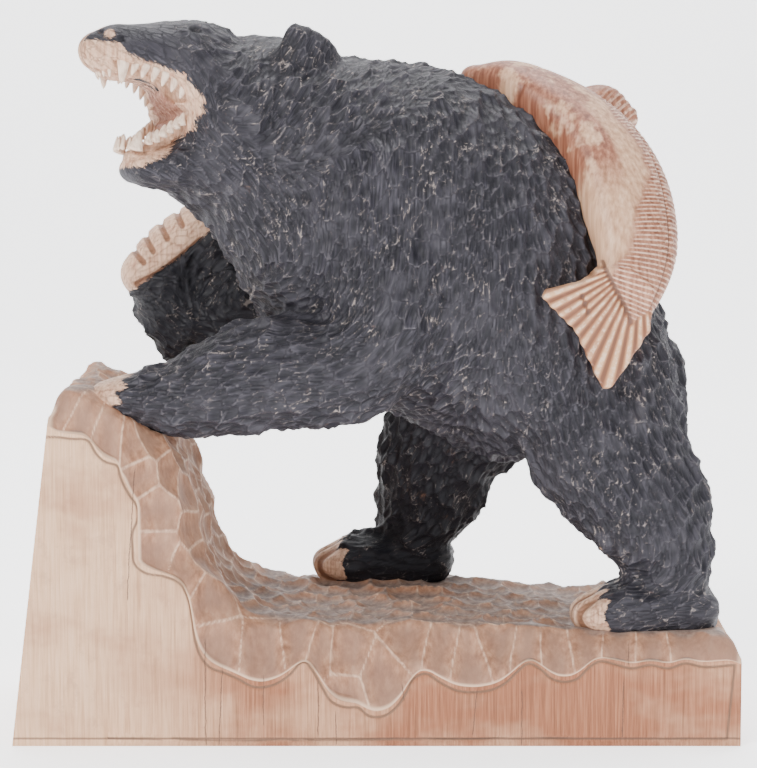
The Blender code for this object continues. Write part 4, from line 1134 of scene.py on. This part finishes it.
# the relief height is also painted as shade and highlight by the material
store(salmon.data, "relief", relief)
salmon.data.polygons.foreach_set("use_smooth", np.ones(len(salmon.data.polygons), bool))
fish_wood, tree, shader, add = nodes_of("stained wood of the fish")
place = add("TexCoord").outputs["Object"]
back_way, length_way, tail_way, relief_way = (add("Attribute", attribute_name=k).outputs["Fac"]
                                               for k in ("back", "length", "tail", "relief"))
streak = grain(add, place, 420.0, (1, 1, 0.05), 3.0, 0.55)
patch = grain(add, place, 42.0, (1, 1, 0.7), 4.0, 0.65)
speck = grain(add, place, 330.0, (1, 1, 1), 3.0, 0.7)
cream = ramp(add, streak, [(0.30, (0.38, 0.205, 0.115)), (0.50, (0.55, 0.330, 0.205)),
                           (0.72, (0.68, 0.450, 0.305))])
brown = ramp(add, streak, [(0.30, (0.14, 0.042, 0.022)), (0.50, (0.25, 0.092, 0.052)),
                           (0.74, (0.42, 0.195, 0.120))])
edge = times(add, back_way, times(add, times(add, patch, 0.5, "SUBTRACT"), 30.0), "ADD")
edge = times(add, edge, span(add, length_way, 120.0, 185.0, 0.0, 16.0), "ADD")
share = span(add, edge, 0.0, 7.0, 0.05, 0.92)
head_end = times(add, span(add, length_way, 105.0, 60.0), span(add, patch, 0.44, 0.52, 0.15, 0.98))
left_rim = times(add, span(add, back_way, -9.0, -14.0), span(add, length_way, 150.0, 110.0))
head_end = times(add, head_end, times(add, left_rim, span(add, patch, 0.36, 0.48)), "MAXIMUM")
share = times(add, share, head_end, "MAXIMUM")
# painted highlight: pale waves along the scale band stand for light on the combed scales' crests, flecked by
# specks
scale_wave = times(add, times(add, length_way, 2.5), times(add, back_way, 0.35), "ADD")
scale_lit = span(add, times(add, scale_wave, 0.0, "SINE"), 0.1, 0.8)
scale_highlight = times(add, span(add, edge, 3.0, 8.0), times(add, span(add, length_way, 60.0, 85.0), scale_lit))
colour = blend(add, share, cream, brown)
colour = blend(add, times(add, scale_highlight, span(add, speck, 0.36, 0.56, 0.35, 0.9)), colour, (0.70, 0.47, 0.35))
# painted shade and highlight: the tail fan darkens between its rays and pales on them
fan_shaded_colour = ramp(add, times(add, relief_way, 0.5, "ADD"),
                  [(0.10, (0.17, 0.060, 0.026)), (0.55, (0.41, 0.195, 0.095)), (0.95, (0.62, 0.370, 0.210))])
fan_shaded_colour = blend(add, span(add, patch, 0.50, 0.64, 0.0, 0.5), fan_shaded_colour, (0.26, 0.10, 0.05))
colour = blend(add, tail_way, colour, fan_shaded_colour)
# painted shade in the cut lines and painted highlight on the raised combs and rays, broken by specks
colour = blend(add, span(add, relief_way, -0.25, -0.9, 0.0, 0.8), colour, (0.12, 0.055, 0.035))
colour = blend(add, times(add, span(add, relief_way, 0.12, 0.35), span(add, speck, 0.45, 0.6, 0.0, 0.6)),
               colour, (0.72, 0.55, 0.42))
tree.links.new(colour, shader.inputs["Base Color"])
shader.inputs["Roughness"].default_value = 0.48
shader.inputs["Specular IOR Level"].default_value = 0.4
bumps = add("Bump", {"Strength": 0.3, "Distance": 0.0005, "Height": streak})
tree.links.new(bumps.outputs[0], shader.inputs["Normal"])
salmon.data.materials.clear()
salmon.data.materials.append(fish_wood)
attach(salmon, "root")
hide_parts("carved_bear")


# Floor, light and camera
# A plain white sheet that curves up behind the carving, soft lamps and the photograph's own view.
def swept_floor():
    """A sheet along a profile: level towards the viewer, then a quarter circle up at the back."""
    turn = np.linspace(0, 0.5 * math.pi, 24)
    run = np.concatenate([[-3.0], 1.6 + 0.9 * np.sin(turn), [2.5]])
    rise = np.concatenate([[0.0], 0.9 * (1 - np.cos(turn)), [3.5]])
    across = np.linspace(-4.0, 4.0, 5)
    points = np.stack(np.broadcast_arrays(across[None], run[:, None], rise[:, None]), axis=-1).reshape(-1, 3)
    k = np.arange(len(run) * 5).reshape(-1, 5)
    quads = np.stack([k[:-1, :-1], k[:-1, 1:], k[1:, 1:], k[1:, :-1]], axis=-1)
    return points / MM, quads.reshape(-1, 4).tolist()


floor = mesh_object("floor", [swept_floor()])
floor.data.polygons.foreach_set("use_smooth", np.ones(len(floor.data.polygons), bool))
paper, tree, shader, add = nodes_of("white sheet")
shader.inputs["Base Color"].default_value = (0.93, 0.93, 0.95, 1.0)
shader.inputs["Emission Color"].default_value = (1.0, 1.0, 1.0, 1.0)
shader.inputs["Emission Strength"].default_value = 1.7
shader.inputs["Roughness"].default_value = 0.9
floor.data.materials.append(paper)

for name, spot, aim, size, power, tint in (
        ("key lamp", (-1.5, -1.9, 1.9), (0, 0, 0.22), 0.9, 92, (1.0, 0.99, 0.97)),
        ("fill lamp", (1.9, -1.5, 1.0), (0, 0, 0.2), 1.4, 24, (0.97, 0.98, 1.0)),
        ("top lamp", (0.2, 0.5, 2.3), (0, 0, 0.3), 1.2, 60, (1.0, 1.0, 1.0))):
    lamp = bpy.data.lights.new(name, "AREA")
    lamp.size, lamp.energy, lamp.color = size, power, tint
    holder = bpy.data.objects.new(name, lamp)
    bpy.context.scene.collection.objects.link(holder)
    holder.location = spot
    way = np.array(aim) - np.array(spot)
    holder.rotation_euler = (math.acos(-way[2] / np.linalg.norm(way)), 0.0, math.atan2(-way[0], way[1]) )
world = bpy.context.scene.world or bpy.data.worlds.new("studio")
bpy.context.scene.world = world
world.use_nodes = True
world.node_tree.nodes["Background"].inputs["Color"].default_value = (0.95, 0.96, 1.0, 1.0)
world.node_tree.nodes["Background"].inputs["Strength"].default_value = 0.30

camera = bpy.data.cameras.new("camera")
camera.lens = 2998 / 768 * 36
camera.sensor_width = 36
camera.sensor_fit = "AUTO"
viewer = bpy.data.objects.new("camera", camera)
bpy.context.scene.collection.objects.link(viewer)
viewer.location = (0.0012, -1.8, 0.40)
viewer.rotation_euler = (math.radians(90 - 6.3), 0.0, 0.0)
bpy.context.scene.camera = viewer
